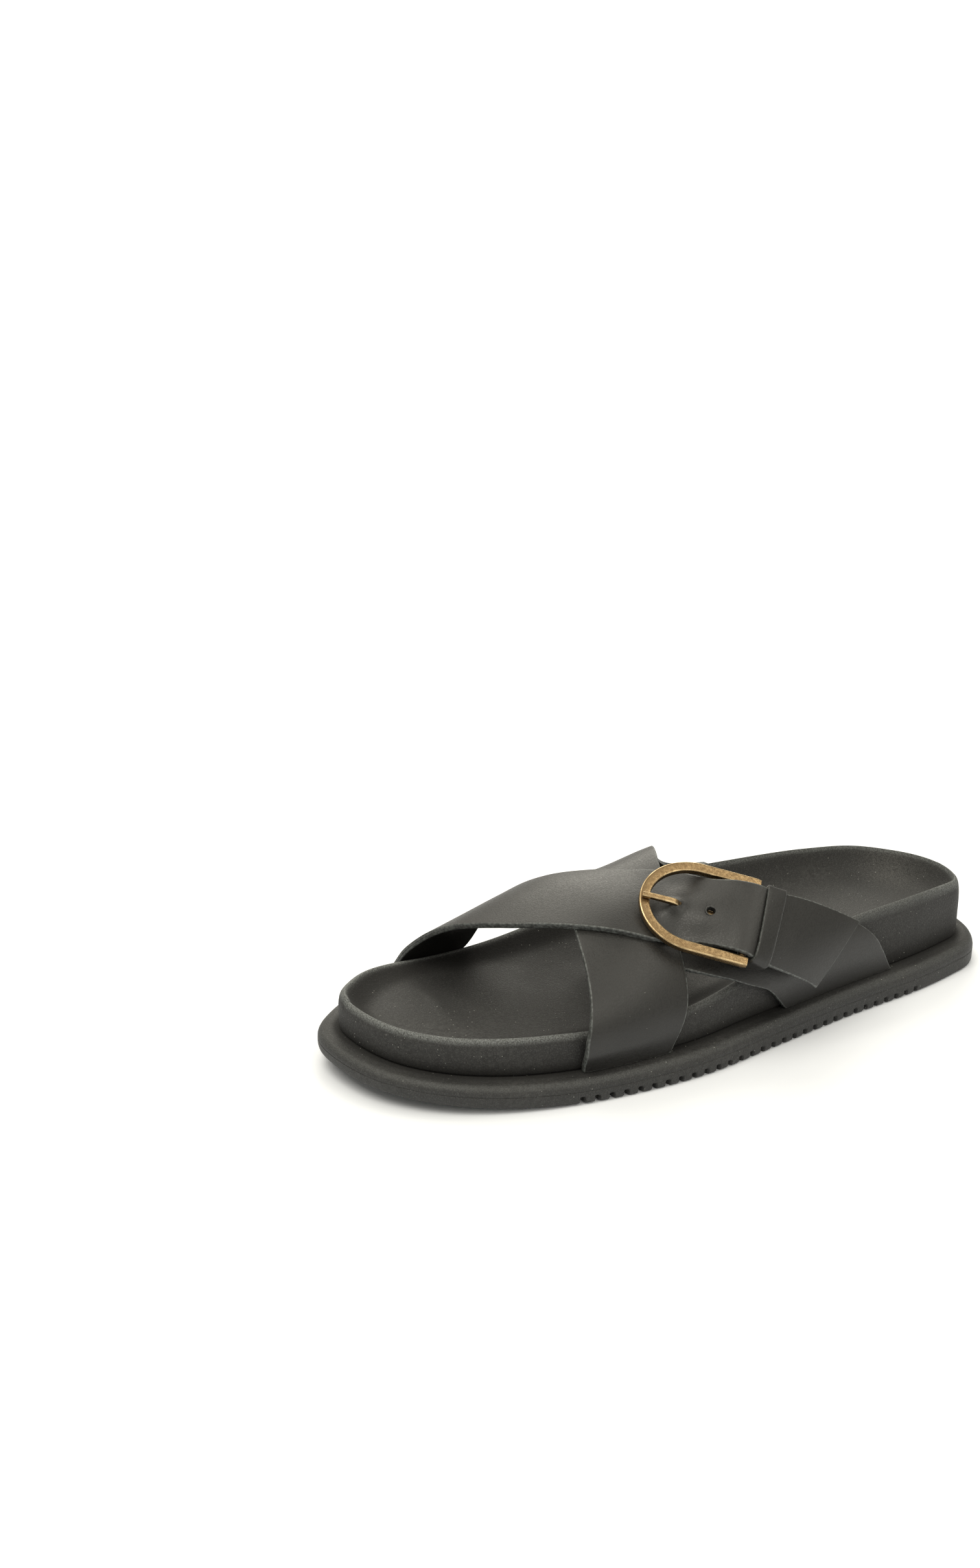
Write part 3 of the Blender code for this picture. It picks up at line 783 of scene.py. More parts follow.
    def ledge(self, y: np.ndarray) -> np.ndarray:
        """Height of the footbed's base, just above the flange."""
        return self.flange(y)[1] + self.bottom(y) + self.clearance

    def wall_x(self, y: np.ndarray, side: Side) -> np.ndarray:
        """Where a strap's outer face stands beside the footbed's wall.

        Args:
            y: place along the shoe.
            side: outer or inner side.

        Returns:
            Places across the shoe in millimetres.
        """
        turn = np.arccos(np.clip(2.0 * np.asarray(y, float) / self.length, -0.98, 0.98))
        angles = turn if side is Side.OUTER else 2.0 * math.pi - turn
        normal = self.outward(angles)[..., 0]
        return self.outline(angles)[..., 0] + (self.clearance + self.strap_thickness) / normal

    def arch(self, stations: np.ndarray, y: np.ndarray) -> np.ndarray:
        """Point on the straps' common outer face.

        Args:
            stations: degrees over the arch from the outer side; below 0 or above 180 lies on a foot.
            y: place along the shoe.

        Returns:
            Points in millimetres.
        """
        stations, y = np.broadcast_arrays(np.asarray(stations, float), np.asarray(y, float))
        read = columns(self.arch_rows, y)
        outer_x, outer_z, outer_full, inner_x, inner_z, inner_full, crown_x, crown_z = read
        angle = np.radians(np.clip(stations, 0.0, 180.0))
        outer = np.cos(angle) >= 0.0
        side_x = np.where(outer, outer_x, inner_x)
        side_z = np.where(outer, outer_z, inner_z)
        fullness = np.where(outer, outer_full, inner_full)
        x = crown_x + (side_x - crown_x) * np.abs(np.cos(angle))
        z = side_z + (crown_z - side_z) * np.sin(angle) ** (1.0 / fullness)
        down = np.clip(np.maximum(-stations, stations - 180.0) / self.foot, 0.0, 1.0)
        base_x = np.where(outer, self.wall_x(y, Side.OUTER), self.wall_x(y, Side.INNER))
        x = x + (base_x - x) * down * down * (3.0 - 2.0 * down)
        z = z + (self.ledge(y) - z) * down
        return np.stack([x, y, z], axis=-1)

    def arch_normal(self, stations: np.ndarray, y: np.ndarray) -> np.ndarray:
        """Outward normals of the straps' common outer face.

        Args:
            stations: degrees over the arch from the outer side.
            y: place along the shoe.

        Returns:
            Unit vectors.
        """
        turn = 2.0
        slide = 1.0
        over = self.arch(stations + turn, y) - self.arch(stations - turn, y)
        along = self.arch(stations, y + slide) - self.arch(stations, y - slide)
        return unit(np.cross(along, over))


@dataclass
class Sole:
    """Moulded sole with a rounded flange, a parting line and notches along both sides."""

    last: Last
    finish: MouldedRubber
    notches: int = 30
    notch_first_y: float = -67.9
    notch_pitch: float = 5.35
    end_steps: int = 44
    outline_steps: int = 1441
    rim_band: Row = (0.8, 0.99)
    rim_rub: float = 0.35
    # places across the flange's top over which the painted shade of the groove by the footbed's wall comes in
    crevice: Row = (4.2, 7.0)
    notch_columns: tuple[Row, ...] = (
        # place beside the notch's middle, share of its depth
        (-2.05, 0.0),
        (-1.15, 0.0),
        (-0.80, 0.35),
        (-0.55, 1.0),
        (0.55, 1.0),
        (0.80, 0.35),
        (1.15, 0.0),
        (2.05, 0.0),
    )
    profile: tuple[Row, ...] = (
        # tooth inset, tooth height, notch inset, notch height, share of the flange's height
        (3.6, 0.0, 5.4, 0.0, 0.0),
        (1.6, 0.0, 4.0, 0.0, 0.0),
        (0.75, 0.25, 3.0, 0.3, 0.0),
        (0.28, 0.75, 2.5, 0.9, 0.0),
        (0.06, 1.5, 2.3, 1.6, 0.0),
        (0.0, 2.2, 1.9, 2.2, 0.0),
        (0.0, 2.65, 1.0, 2.6, 0.0),
        (0.0, 3.0, 0.1, 2.95, 0.0),
        (0.0, 0.0, 0.0, 0.0, 0.49),
        (0.0, 0.0, 0.0, 0.0, 0.525),
        (0.16, 0.0, 0.16, 0.0, 0.540),
        (0.16, 0.0, 0.16, 0.0, 0.560),
        (0.02, 0.0, 0.02, 0.0, 0.575),
        (0.06, 0.0, 0.06, 0.0, 0.65),
        (0.28, 0.0, 0.28, 0.0, 0.75),
        (0.65, 0.0, 0.65, 0.0, 0.84),
        (1.15, 0.0, 1.15, 0.0, 0.915),
        (1.85, 0.0, 1.85, 0.0, 0.965),
        (2.8, 0.0, 2.8, 0.0, 0.993),
        (4.0, 0.0, 4.0, 0.0, 1.0),
        (5.2, 0.0, 5.2, 0.0, 1.0),
        (6.4, 0.0, 6.4, 0.0, 1.0),
        (9.0, 0.0, 9.0, 0.0, 1.0),
    )

    def rounds(self) -> tuple[np.ndarray, np.ndarray]:
        """Angles round the sole, and how deep each lies in a notch.

        Returns:
            Angles, and shares of a notch's depth.
        """
        dense = np.linspace(0.0, math.pi, self.outline_steps)
        plan = self.last.outline(dense)
        edge = plan + self.last.outward(dense) * self.last.flange(plan[:, 1])[0][:, None]
        middles = self.notch_first_y + self.notch_pitch * np.arange(self.notches)
        rows = np.asarray(self.notch_columns)
        places = (middles[:, None] + rows[None, :, 0]).ravel()[::-1]
        depth = np.tile(rows[::-1, 1], self.notches)
        turn = np.interp(-places, -edge[:, 1], dense)
        heel = np.linspace(0.0, turn[0], self.end_steps, endpoint=False)
        toe = np.linspace(turn[-1], math.pi, self.end_steps + 1)[1:]
        side = np.concatenate([heel, turn, toe])
        deep = np.concatenate([0.0 * heel, depth, 0.0 * toe])
        return np.concatenate([side, 2.0 * math.pi - side[-2::-1]]), np.concatenate([deep, deep[-2::-1]])

    def build(self, effects: Effects) -> bpy.types.Object:
        """Build and dress the sole.

        Args:
            effects: the node groups that finishes share.

        Returns:
            The new piece.
        """
        angles, deep = self.rounds()
        plan = self.last.outline(angles)
        normal = self.last.outward(angles)
        overhang, height = self.last.flange(plan[:, 1])
        low = self.last.bottom(plan[:, 1])
        rim_low, rim_high = self.rim_band
        rings = []
        rubbed = []
        shaded = []
        for tooth, tooth_rise, notch, notch_rise, share in self.profile:
            inset = tooth + (notch - tooth) * deep
            rise = tooth_rise + (notch_rise - tooth_rise) * deep + share * height
            rings.append(np.column_stack([plan + normal * (overhang - inset)[:, None], low + rise]))
            rubbed.append(0.0 * deep + (self.rim_rub if rim_low < share < rim_high else 0.0))
            # painted shade on the flange's top, darkest by the footbed's wall where the groove is
            shaded.append(0.0 * deep + (float(ease(tooth, *self.crevice)) if share > rim_high else 0.0))
        marks = {"border": np.stack(rubbed), "painted_shade": np.stack(shaded)}
        piece = Bench.loft("sole", np.stack(rings), marks)
        Bench.smooth(piece, 50.0)
        Bench.dress(piece, [self.finish.material(effects)])
        return Bench.seat(piece, "outsole", "sole_rubber")


@dataclass
class Footbed:
    """Dished footbed with a rounded, rubbed rim, a painted highlight along the rim's crest, painted shade at
    the foot of its wall, on the dish's inner slope and under the straps, and a low bar under the toes.
    """

    last: Last
    finish: MouldedRubber
    around: int = 240
    spine_end: float = 34.0
    dish_power: float = 6.5
    rim_inset: float = 2.5
    wall: tuple[Row, ...] = (
        # inset, share of the rim's height
        (2.4, 0.0),
        (0.6, 0.0),
        (0.25, 0.02),
        (0.0, 0.08),
        (0.0, 0.30),
        (0.0, 0.55),
        (0.05, 0.65),
        (0.18, 0.75),
        (0.40, 0.84),
        (0.75, 0.915),
        (1.2, 0.965),
        (1.8, 0.992),
        (2.3, 1.0),
    )
    dish: tuple[float, ...] = (
        *(1.0, 0.99, 0.975, 0.955, 0.93, 0.90, 0.865, 0.82, 0.77),
        *(0.71, 0.64, 0.55, 0.45, 0.35, 0.25, 0.15, 0.07, 0.0),
    )
    least_wear: float = 0.5
    # how much painted shade lies on the dish's inner slope everywhere, and how much more from the middle of the
    # foot to the toe
    least_painted_shade: float = 0.15
    arch_more_painted_shade: float = 0.7
    # stretches over which wear, the crest's painted highlight and painted shade come in: stations, shares of
    # the wall's height or parts of the dish
    toe_wear: Row = (0.66, 0.86)
    heel_wear: Row = (0.04, 0.14)
    wall_wear: Row = (0.84, 0.98)
    crest_highlight: Row = (0.97, 0.995)
    wall_shade: Row = (0.05, 0.42)
    arch_shade: Row = (0.35, 0.60)
    dish_shade: Row = (0.68, 0.86)
    crest_unshaded: Row = (0.94, 0.995)
    shelters: tuple[Row, ...] = (
        # x, y, reach across, reach along, most
        (23.0, 0.0, 15.0, 20.0, 1.0),
        (-12.0, 116.0, 13.0, 9.0, 0.7),
    )
    swells: tuple[Row, ...] = (
        # x, y, half length, half width, turn in degrees, height
        (-9.0, -95.0, 13.0, 4.2, -9.0, 2.0),
        (4.0, 86.0, 22.0, 17.0, 90.0, -0.8),
        (2.0, -52.0, 24.0, 20.0, 90.0, -0.6),
    )

    def swell(self, points: np.ndarray) -> np.ndarray:
        """Raise or lower the dish by its soft swells.

        Args:
            points: points of one ring of the dish.

        Returns:
            The moved points.
        """
        moved = points.copy()
        for x, y, half, wide, turn, height in self.swells:
            angle = math.radians(turn)
            dx = points[..., 0] - x
            dy = points[..., 1] - y
            along = (dx * math.cos(angle) + dy * math.sin(angle)) / half
            across = (dy * math.cos(angle) - dx * math.sin(angle)) / wide
            moved[..., 2] += height * np.exp(-(along**2) - across**2)
        return moved

    def sheltered(self, points: np.ndarray) -> np.ndarray:
        """Pale nap that shows where the straps shelter the floor and where the heel scuffs it.

        Args:
            points: all points of the footbed.

        Returns:
            Shares, shaped rows by columns.
        """
        share = np.zeros(points.shape[:2])
        for x, y, reach_x, reach_y, most in self.shelters:
            across = (points[..., 0] - x) / reach_x
            along = (points[..., 1] - y) / reach_y
            share += most * np.exp(-(across**2) - along**2)
        return share

    def build(self, effects: Effects) -> bpy.types.Object:
        """Build and dress the footbed.

        Args:
            effects: the node groups that finishes share.

        Returns:
            The new piece.
        """
        last = self.last
        angles = np.linspace(0.0, 2.0 * math.pi, self.around + 1)
        plan = last.outline(angles)
        normal = last.outward(angles)
        outer_rim, inner_rim, _ = columns(last.rim, last.station(plan[:, 1]))
        rim = np.where(angles <= math.pi, outer_rim, inner_rim)
        base = last.ledge(plan[:, 1])
        rings = []
        rubbed = []
        shaded = []
        where = last.station(plan[:, 1])
        worn = self.least_wear * (2.0 + ease(where, *self.toe_wear) - ease(where, *self.heel_wear))
        for inset, share in self.wall:
            rings.append(np.column_stack([plan - normal * inset, base + rim * share]))
            rubbed.append(worn * ease(share, *self.wall_wear))
            # painted shade at the foot of the wall, where it meets the flange
            shaded.append(0.0 * rim + 1.0 - ease(share, *self.wall_shade))
        crest = np.column_stack([plan - normal * self.rim_inset, base + rim])
        end = 0.5 * last.length - self.spine_end
        spine_y = np.clip(plan[:, 1], -end, end)
        turn = np.arccos(2.0 * spine_y / last.length)
        spine_x = 0.5 * (last.outline(turn)[:, 0] + last.outline(2.0 * math.pi - turn)[:, 0])
        spine = np.column_stack([spine_x, spine_y])
        depth = last.ledge(spine_y) + columns(last.rim, last.station(spine_y))[2]
        for part in self.dish:
            place = spine + (crest[:, :2] - spine) * part
            rise = (crest[:, 2] - depth) * part**self.dish_power
            ring = np.column_stack([place, depth + rise])
            rings.append(self.swell(ring) if part < 1.0 else ring)
            # the thin pale line right at the crest is a painted highlight
            rubbed.append(0.0 * rim + ease(part, *self.crest_highlight))
            # painted shade on the dish's inner slope below the crest, stronger from the middle of the foot to
            # the toe, under the straps
            wall = ease(part, *self.dish_shade) * (1.0 - ease(part, *self.crest_unshaded))
            shaded.append(wall * (self.least_painted_shade + self.arch_more_painted_shade * ease(where, *self.arch_shade)))
        points = np.stack(rings)
        marks = {"border": np.stack(rubbed), "nap": self.sheltered(points), "painted_shade": np.stack(shaded)}
        piece = Bench.loft("footbed_body", points, marks)
        Bench.smooth(piece, 60.0)
        Bench.dress(piece, [self.finish.material(effects)])
        return Bench.seat(piece, "footbed", "footbed_rubber")


@dataclass
class BuckleFrame:
    """Directions and sizes of the buckle, from the middle of its bar."""

    middle: Row = (42.76, 3.31, 49.36)
    forward: Row = (-0.577, -0.784, 0.226)
    across: Row = (0.596, -0.594, -0.541)

    def axes(self) -> tuple[np.ndarray, np.ndarray, np.ndarray]:
        """Directions forward along the buckle, across it towards the outer side, and up from it.

        Returns:
            Three unit vectors.
        """
        forward = unit(self.forward)
        across = unit(np.asarray(self.across) - np.dot(self.across, forward) * forward)
        return forward, across, np.cross(forward, across)

    def place(self, along: np.ndarray, across: np.ndarray, height: np.ndarray) -> np.ndarray:
        """Point at a place in the buckle's own directions.

        Args:
            along: place forward from the bar.
            across: place towards the outer side.
            height: place up from the bar.

        Returns:
            Points in millimetres.
        """
        forward, side, up = self.axes()
        along, across, height = np.broadcast_arrays(*(np.asarray(v, float) for v in (along, across, height)))
        offset = along[..., None] * forward + across[..., None] * side + height[..., None] * up
        return np.asarray(self.middle) + offset

    def local(self, points: np.ndarray) -> np.ndarray:
        """Places of points in the buckle's own directions."""
        return (points - np.asarray(self.middle)) @ np.stack(self.axes()).T


@dataclass
class Strap:
    """A leather strap laid over the arch, with a groove between two plies along its edges."""

    name: str
    last: Last
    lines: tuple[Row, ...]
    thickness: float = 2.2
    rows: int = 170
    across: int = 25
    ridge_power: int = 4
    inner_border: float = 3.0
    edge: tuple[Row, ...] = (
        # share of the thickness, place beyond the edge
        (0.0, -0.55),
        (0.02, -0.26),
        (0.09, -0.08),
        (0.20, 0.0),
        (0.47, 0.0),
        (0.53, -0.16),
        (0.59, -0.04),
        (0.90, -0.06),
        (0.98, -0.22),
        (1.0, -0.5),
    )

    def faces(self, creases: Callable | None = None) -> tuple[np.ndarray, np.ndarray]:
        """Outer points of the strap, and the direction down through its thickness.

        Args:
            creases: a function that moves the outer points, or nothing.

        Returns:
            Points, and unit vectors, both shaped rows by columns by 3.
        """
        table = np.asarray(self.lines, float)
        count = np.arange(len(table))
        at = np.linspace(0.0, len(table) - 1.0, self.rows)
        lines = (curve(count, table[:, k], at)[:, None] for k in range(7))
        front, front_y, rear, rear_y, front_lift, rear_lift, ridge = lines
        part = np.linspace(0.0, 1.0, self.across)[None, :]
        stations = front + (rear - front) * part
        y = front_y + (rear_y - front_y) * part
        height = front_lift + (rear_lift - front_lift) * part
        height = height + ridge * (1.0 - (2.0 * part - 1.0) ** 2) ** self.ridge_power
        normal = self.last.arch_normal(stations, y)
        outer = self.last.arch(stations, y) + normal * height[..., None]
        if creases is not None:
            outer = creases(outer)
        down = unit(np.cross(np.gradient(outer, axis=0), np.gradient(outer, axis=1)))
        return outer, np.where((down * normal).sum(-1, keepdims=True) > 0.0, -down, down)

    def section(self, outer: np.ndarray, down: np.ndarray) -> tuple[np.ndarray, np.ndarray]:
        """Closed section round every line across the strap.

        Args:
            outer: outer points.
            down: directions through the thickness.

        Returns:
            Points, and their distances from the edges and ends.
        """
        sideways = unit(np.gradient(outer, axis=1))
        width = np.linalg.norm(outer[:, -1] - outer[:, 0], axis=1)
        part = np.linspace(0.0, 1.0, self.across)
        steps = np.linalg.norm(np.diff(outer, axis=0), axis=2)
        run = np.concatenate([np.zeros((1, self.across)), np.cumsum(steps, axis=0)])
        end = np.minimum(run, run[-1] - run)
        lines = []
        border = []
        for k in range(1, self.across - 1):
            lines.append(outer[:, k])
            border.append(np.minimum(np.minimum(part[k], 1.0 - part[k]) * width, end[:, k]))
        for share, beyond in self.edge:
            lines.append(outer[:, -1] + down[:, -1] * share * self.thickness + sideways[:, -1] * beyond)
            border.append(0.0 * width)
        for k in range(self.across - 2, 0, -1):
            lines.append(outer[:, k] + down[:, k] * self.thickness)
            border.append(0.0 * width + self.inner_border)
        for share, beyond in self.edge[::-1]:
            lines.append(outer[:, 0] + down[:, 0] * share * self.thickness - sideways[:, 0] * beyond)
            border.append(0.0 * width)
        lines.append(lines[0])
        border.append(border[0])
        return np.stack(lines, axis=1), np.stack(border, axis=1)

    def build(self, materials: list[bpy.types.Material], creases: Callable | None = None) -> bpy.types.Object:
        """Build and dress the strap.

        Args:
            materials: finishes of the face and of the holes' walls.
            creases: a function that moves the outer points, or nothing.

        Returns:
            The new piece.
        """
        points, border = self.section(*self.faces(creases))
        piece = Bench.loft(self.name, points, {"border": border})
        Bench.dress(piece, materials)
        return piece


@dataclass
class Upper:
    """The two crossed straps: the lower one, and the upper one with its free tail and its holes."""

    last: Last
    buckle: BuckleFrame
    materials: list[bpy.types.Material]
    spare_hole_along: float = 14.6
    spare_hole_across: float = 1.5
    spare_hole_radius: float = 1.55
    spare_hole_span: Row = (-2.4, 12.0)
    prong_hole_clearance: float = 0.2
    hole_sides: int = 20
    lip_sink: float = 0.2
    lip_offset: float = 0.3
    lip_radius: float = 0.36
    buckle_reach: float = 14.0
    lower: tuple[Row, ...] = (
        # station, front y, rear y, lift of the rear edge
        (-20.0, -65.0, -31.5, 0.0),
        (0.0, -65.8, -28.0, 0.0),
        (15.0, -63.7, -25.0, 0.0),
        (30.0, -60.8, -22.8, 0.0),
        (46.0, -57.4, -20.5, 0.0),
        (62.0, -53.7, -16.8, 0.0),
        (76.0, -49.5, -12.0, 0.8),
        (90.0, -44.5, -6.5, 2.0),
        (103.0, -37.0, -2.0, 3.0),
        (117.0, -27.0, 2.7, 2.8),
        (135.0, -13.0, 9.5, 1.4),
        (158.0, 3.0, 21.5, 0.0),
        (180.0, 15.0, 41.0, 0.0),
        (200.0, 26.0, 79.5, 0.0),
    )
    over: tuple[Row, ...] = (
        # front station, front y, rear station, rear y, front lift, rear lift, extra lift along its middle
        (200.0, -94.0, 200.0, -65.0, 0.0, 0.0, 0.0),
        (180.0, -93.3, 180.0, -63.5, 0.0, 0.0, 0.0),
        (163.0, -91.8, 164.0, -60.0, 0.6, 0.6, 0.0),
        (146.0, -89.5, 149.0, -56.5, 2.0, 2.0, 0.0),
        (130.0, -84.5, 136.0, -52.0, 3.2, 3.2, 0.0),
        (115.0, -79.5, 127.0, -46.5, 3.2, 3.2, 0.0),
        (101.0, -75.0, 117.0, -40.0, 2.7, 2.7, 0.0),
        (88.0, -68.5, 107.5, -32.5, 2.3, 2.3, 0.0),
        (73.0, -56.5, 98.5, -24.6, 2.25, 2.25, 0.0),
        (60.0, -44.2, 90.5, -19.3, 2.25, 2.25, 0.0),
        (49.8, -32.6, 83.2, -13.6, 1.9, 3.2, 0.6),
        (44.8, -23.4, 73.6, -6.3, 2.2, 4.2, 2.2),
        (39.8, -17.1, 62.3, -1.6, 5.6, 8.6, 1.6),
        (34.3, -11.2, 55.5, 4.9, 10.0, 12.4, 0.6),
        (28.9, -6.0, 50.1, 10.4, 13.5, 14.1, 0.0),
        (23.0, -0.2, 44.5, 16.7, 13.0, 13.2, 0.0),
        (13.3, 10.8, 36.9, 30.2, 10.2, 10.2, 0.0),
        (-2.2, 26.4, 21.1, 50.7, 7.8, 7.8, 0.0),
    )
    creases: tuple[Row, ...] = (
        # along the buckle, across it, reach along, reach across, height
        (20.0, 6.0, 9.0, 6.0, 1.6),
        (28.5, 2.0, 4.5, 5.0, 1.1),
        (27.0, 1.2, 2.6, 2.6, 2.0),
        (14.6, 1.5, 2.6, 2.6, -0.2),
    )

    def crease(self, outer: np.ndarray) -> np.ndarray:
        """Move the upper strap's face by the soft creases round its holes.

        Args:
            outer: outer points of the upper strap.

        Returns:
            The moved points.
        """
        local = self.buckle.local(outer)
        up = self.buckle.axes()[2]
        lift = np.zeros(outer.shape[:2])
        near = np.abs(local[..., 2]) < self.buckle_reach
        for along, across, reach_along, reach_across, height in self.creases:
            ahead = (local[..., 0] - along) / reach_along
            aside = (local[..., 1] - across) / reach_across
            lift += height * np.exp(-(ahead**2) - aside**2)
        return outer + (lift * near)[..., None] * up

    def hole(self, path: np.ndarray, radius: float) -> bpy.types.Object:
        """Round cutter along a path.

        Args:
            path: middle points of the hole.
            radius: radius of the hole.

        Returns:
            The cutter, with the finish of the hole's wall.
        """
        cutter = Bench.loft("hole", Bar.tube(path, np.full(len(path), radius), self.hole_sides))
        Bench.dress(cutter, self.materials)
        for face in cutter.data.polygons:
            face.material_index = Face.CUT.value
        return cutter

    def lip(self, outer: np.ndarray) -> bpy.types.Object:
        """Raised ring that the punch left round the spare hole.

        Args:
            outer: outer points of the upper strap.

        Returns:
            The ring, to be joined to the strap.
        """
        local = self.buckle.local(outer).reshape(-1, 3)
        away = np.hypot(local[:, 0] - self.spare_hole_along, local[:, 1] - self.spare_hole_across)
        near = np.abs(local[:, 2]) < self.buckle_reach
        height = local[np.argmin(np.where(near, away, np.inf)), 2] - self.lip_sink
        middle = self.buckle.place(self.spare_hole_along, self.spare_hole_across, height)
        turn = Vector(self.buckle.axes()[2]).to_track_quat("Z", "Y")
        Bench.clear()
        bpy.ops.mesh.primitive_torus_add(
            major_segments=36,
            minor_segments=10,
            major_radius=(self.spare_hole_radius + self.lip_offset) * MM,
            minor_radius=self.lip_radius * MM,
            location=Vector((middle - PART_MIDDLE) * MM),
            rotation=turn.to_euler(),
        )
        ring = bpy.context.active_object
        bpy.ops.object.transform_apply(location=True, rotation=True, scale=True)
        Bench.dress(ring, self.materials)
        return ring

    def build(self, prong: "Prong") -> list[bpy.types.Object]:
        """Build both straps.

        Args:
            prong: the tongue, whose path the upper strap's hole follows.

        Returns:
            The two pieces.
        """
        lines = tuple((s, front, s, rear, 0.0, lift, 0.0) for s, front, rear, lift in self.lower)
        under = Strap("under_strap", self.last, lines, rows=150).build(self.materials)
        strap = Strap("over_strap", self.last, self.over, rows=230, across=33)
        over = strap.build(self.materials, self.crease)
        Bench.cut(over, self.lip(strap.faces(self.crease)[0]), "UNION")
        Bench.cut(over, self.hole(prong.path(40), prong.radius + self.prong_hole_clearance), "DIFFERENCE")
        heights = np.linspace(*self.spare_hole_span, 8)
        path = self.buckle.place(self.spare_hole_along, self.spare_hole_across, heights)
        Bench.cut(over, self.hole(path, self.spare_hole_radius), "DIFFERENCE")
        pieces = []
        for piece in (under, over):
            Bench.smooth(piece, 40.0)
            pieces.append(Bench.seat(piece, "upper", "strap_leather"))
        return pieces


@dataclass
class BuckleStrap:
    """Outer rear strap that carries the buckle."""

    last: Last
    materials: list[bpy.types.Material]
    thickness: float = 2.0
    lines: tuple[Row, ...] = (
        # front station, front y, rear station, rear y, front lift, rear lift, ridge
        (-20.0, 22.0, -20.0, 77.5, 0.0, 0.0, 0.0),
        (0.0, 10.5, 0.0, 69.5, 0.0, 0.0, 0.0),
        (10.0, 2.5, 14.0, 61.3, -0.2, -0.2, 0.0),
        (18.0, -5.0, 28.0, 49.0, -0.2, -0.2, 0.0),
        (24.0, -12.0, 42.0, 33.0, -0.2, -0.2, 0.0),
        (29.5, -18.8, 54.0, 14.0, -0.4, -0.2, 0.0),
        (32.0, -21.3, 60.0, -8.0, -1.6, -0.6, 0.0),
        (34.4, -24.6, 63.0, -14.0, -2.7, -2.0, 0.0),
    )

    def build(self) -> bpy.types.Object:
        """Build and dress the strap.

        Returns:
            The new piece.
        """
        strap = Strap("quarter_strap", self.last, self.lines, self.thickness, rows=110)
        piece = strap.build(self.materials)
        Bench.smooth(piece, 40.0)
        return Bench.seat(piece, "buckle_strap", "buckle_strap_leather")


@dataclass
class Keeper:
    """Leather loop that holds the tail down."""

    last: Last
    over: tuple[Row, ...]
    materials: list[bpy.types.Material]
    first_row: float = 14.50
    last_row: float = 15.25
    thickness: float = 1.3
    around: int = 72
    squareness: float = 7.0
    width: float = 6.0
    band: tuple[Row, ...] = (
        # share of the width, share of the thickness
        (0.0, 0.2),
        (0.0, 0.8),
        (0.03, 0.96),
        (0.09, 1.0),
        (0.3, 1.0),
        (0.5, 1.0),
        (0.7, 1.0),
        (0.91, 1.0),
        (0.97, 0.96),
        (1.0, 0.8),
        (1.0, 0.2),
        (0.95, 0.0),
        (0.5, 0.0),
        (0.05, 0.0),
        (0.0, 0.2),
    )

    def build(self) -> bpy.types.Object:
        """Build and dress the loop.

        Returns:
            The new piece.
        """
        table = np.asarray(self.over, float)
        count = np.arange(len(table))
        turn = np.linspace(0.0, 2.0 * math.pi, self.around + 1)
        wide, tall = superellipse(turn, self.squareness)
        lines = []
        border = []
        for share, depth in self.band:
            row = self.first_row + (self.last_row - self.first_row) * share
            values = (float(curve(count, table[:, k], row)) for k in range(6))
            front, front_y, rear, rear_y, front_lift, rear_lift = values
            ends = self.last.arch(np.array([front, rear]), np.array([front_y, rear_y]))
            grown = depth * self.thickness
            margin = (self.last.clearance + grown) / np.linalg.norm(ends[1] - ends[0])
            part = 0.5 + (0.5 + margin) * wide
            high = front_lift + (rear_lift - front_lift) * part + self.last.clearance + grown
            low = 0.5 * self.last.clearance + self.thickness - grown
            height = 0.5 * (high + low) + 0.5 * (high - low) * tall
            stations = front + (rear - front) * part
            y = front_y + (rear_y - front_y) * part
            normal = self.last.arch_normal(stations, y)
            lines.append(self.last.arch(stations, y) + normal * height[:, None])
            border.append(0.0 * turn + min(share, 1.0 - share) * self.width)
        piece = Bench.loft("keeper_loop", np.stack(lines, axis=1), {"border": np.stack(border, axis=1)})
        Bench.smooth(piece, 50.0)
        Bench.dress(piece, self.materials)
        return Bench.seat(piece, "keeper", "keeper_leather")


@dataclass
class Bar:
    """Round bar between the ends of the frame."""

    buckle: BuckleFrame
    material: bpy.types.Material
    along: float = 0.9
    drop: float = 0.8
    radius: float = 1.2
    reach: float = 14.1
    sides: int = 24
    profile: tuple[Row, ...] = (
        # share of the reach, share of the radius
        (-1.0, 0.7),
        (-0.985, 0.9),
        (-0.96, 1.0),
        (-0.5, 1.0),
        (0.0, 1.0),
        (0.5, 1.0),
        (0.96, 1.0),
        (0.985, 0.9),
        (1.0, 0.7),
    )

    @staticmethod
    def tube(path: np.ndarray, radii: np.ndarray, sides: int, square: float = 2.0) -> np.ndarray:
        """Points of a tube along a path.

        Args:
            path: middle points of the tube.
            radii: radius at each of them.
            sides: number of points round it.
            square: squareness of its section, which is round at 2.

        Returns:
            Points with the seam repeated.
        """
        along = unit(np.gradient(path, axis=0))
        up = unit(TUBE_UP)
        up = np.where(np.abs(along @ up)[:, None] > TUBE_STEEP, TUBE_UP_IF_STEEP, up)
        side = unit(np.cross(along, up))
        top = np.cross(side, along)
        turn = np.linspace(0.0, 2.0 * math.pi, sides + 1)
        wide, high = superellipse(turn, square)
        circle = wide[None, :, None] * side[:, None, :] + high[None, :, None] * top[:, None, :]
        return path[:, None, :] + np.asarray(radii)[:, None, None] * circle

    def build(self) -> bpy.types.Object:
        """Build and dress the bar.

        Returns:
            The new piece.
        """
        shares, radii = np.asarray(self.profile).T
        path = self.buckle.place(self.along, self.reach * shares, -self.drop)
        points = self.tube(path, self.radius * radii, self.sides)
        piece = Bench.loft("bar", points, {"border": np.zeros(points.shape[:2])})
        Bench.smooth(piece, 40.0)
        Bench.dress(piece, [self.material])
        return Bench.seat(piece, "buckle_bar", "bar_metal")


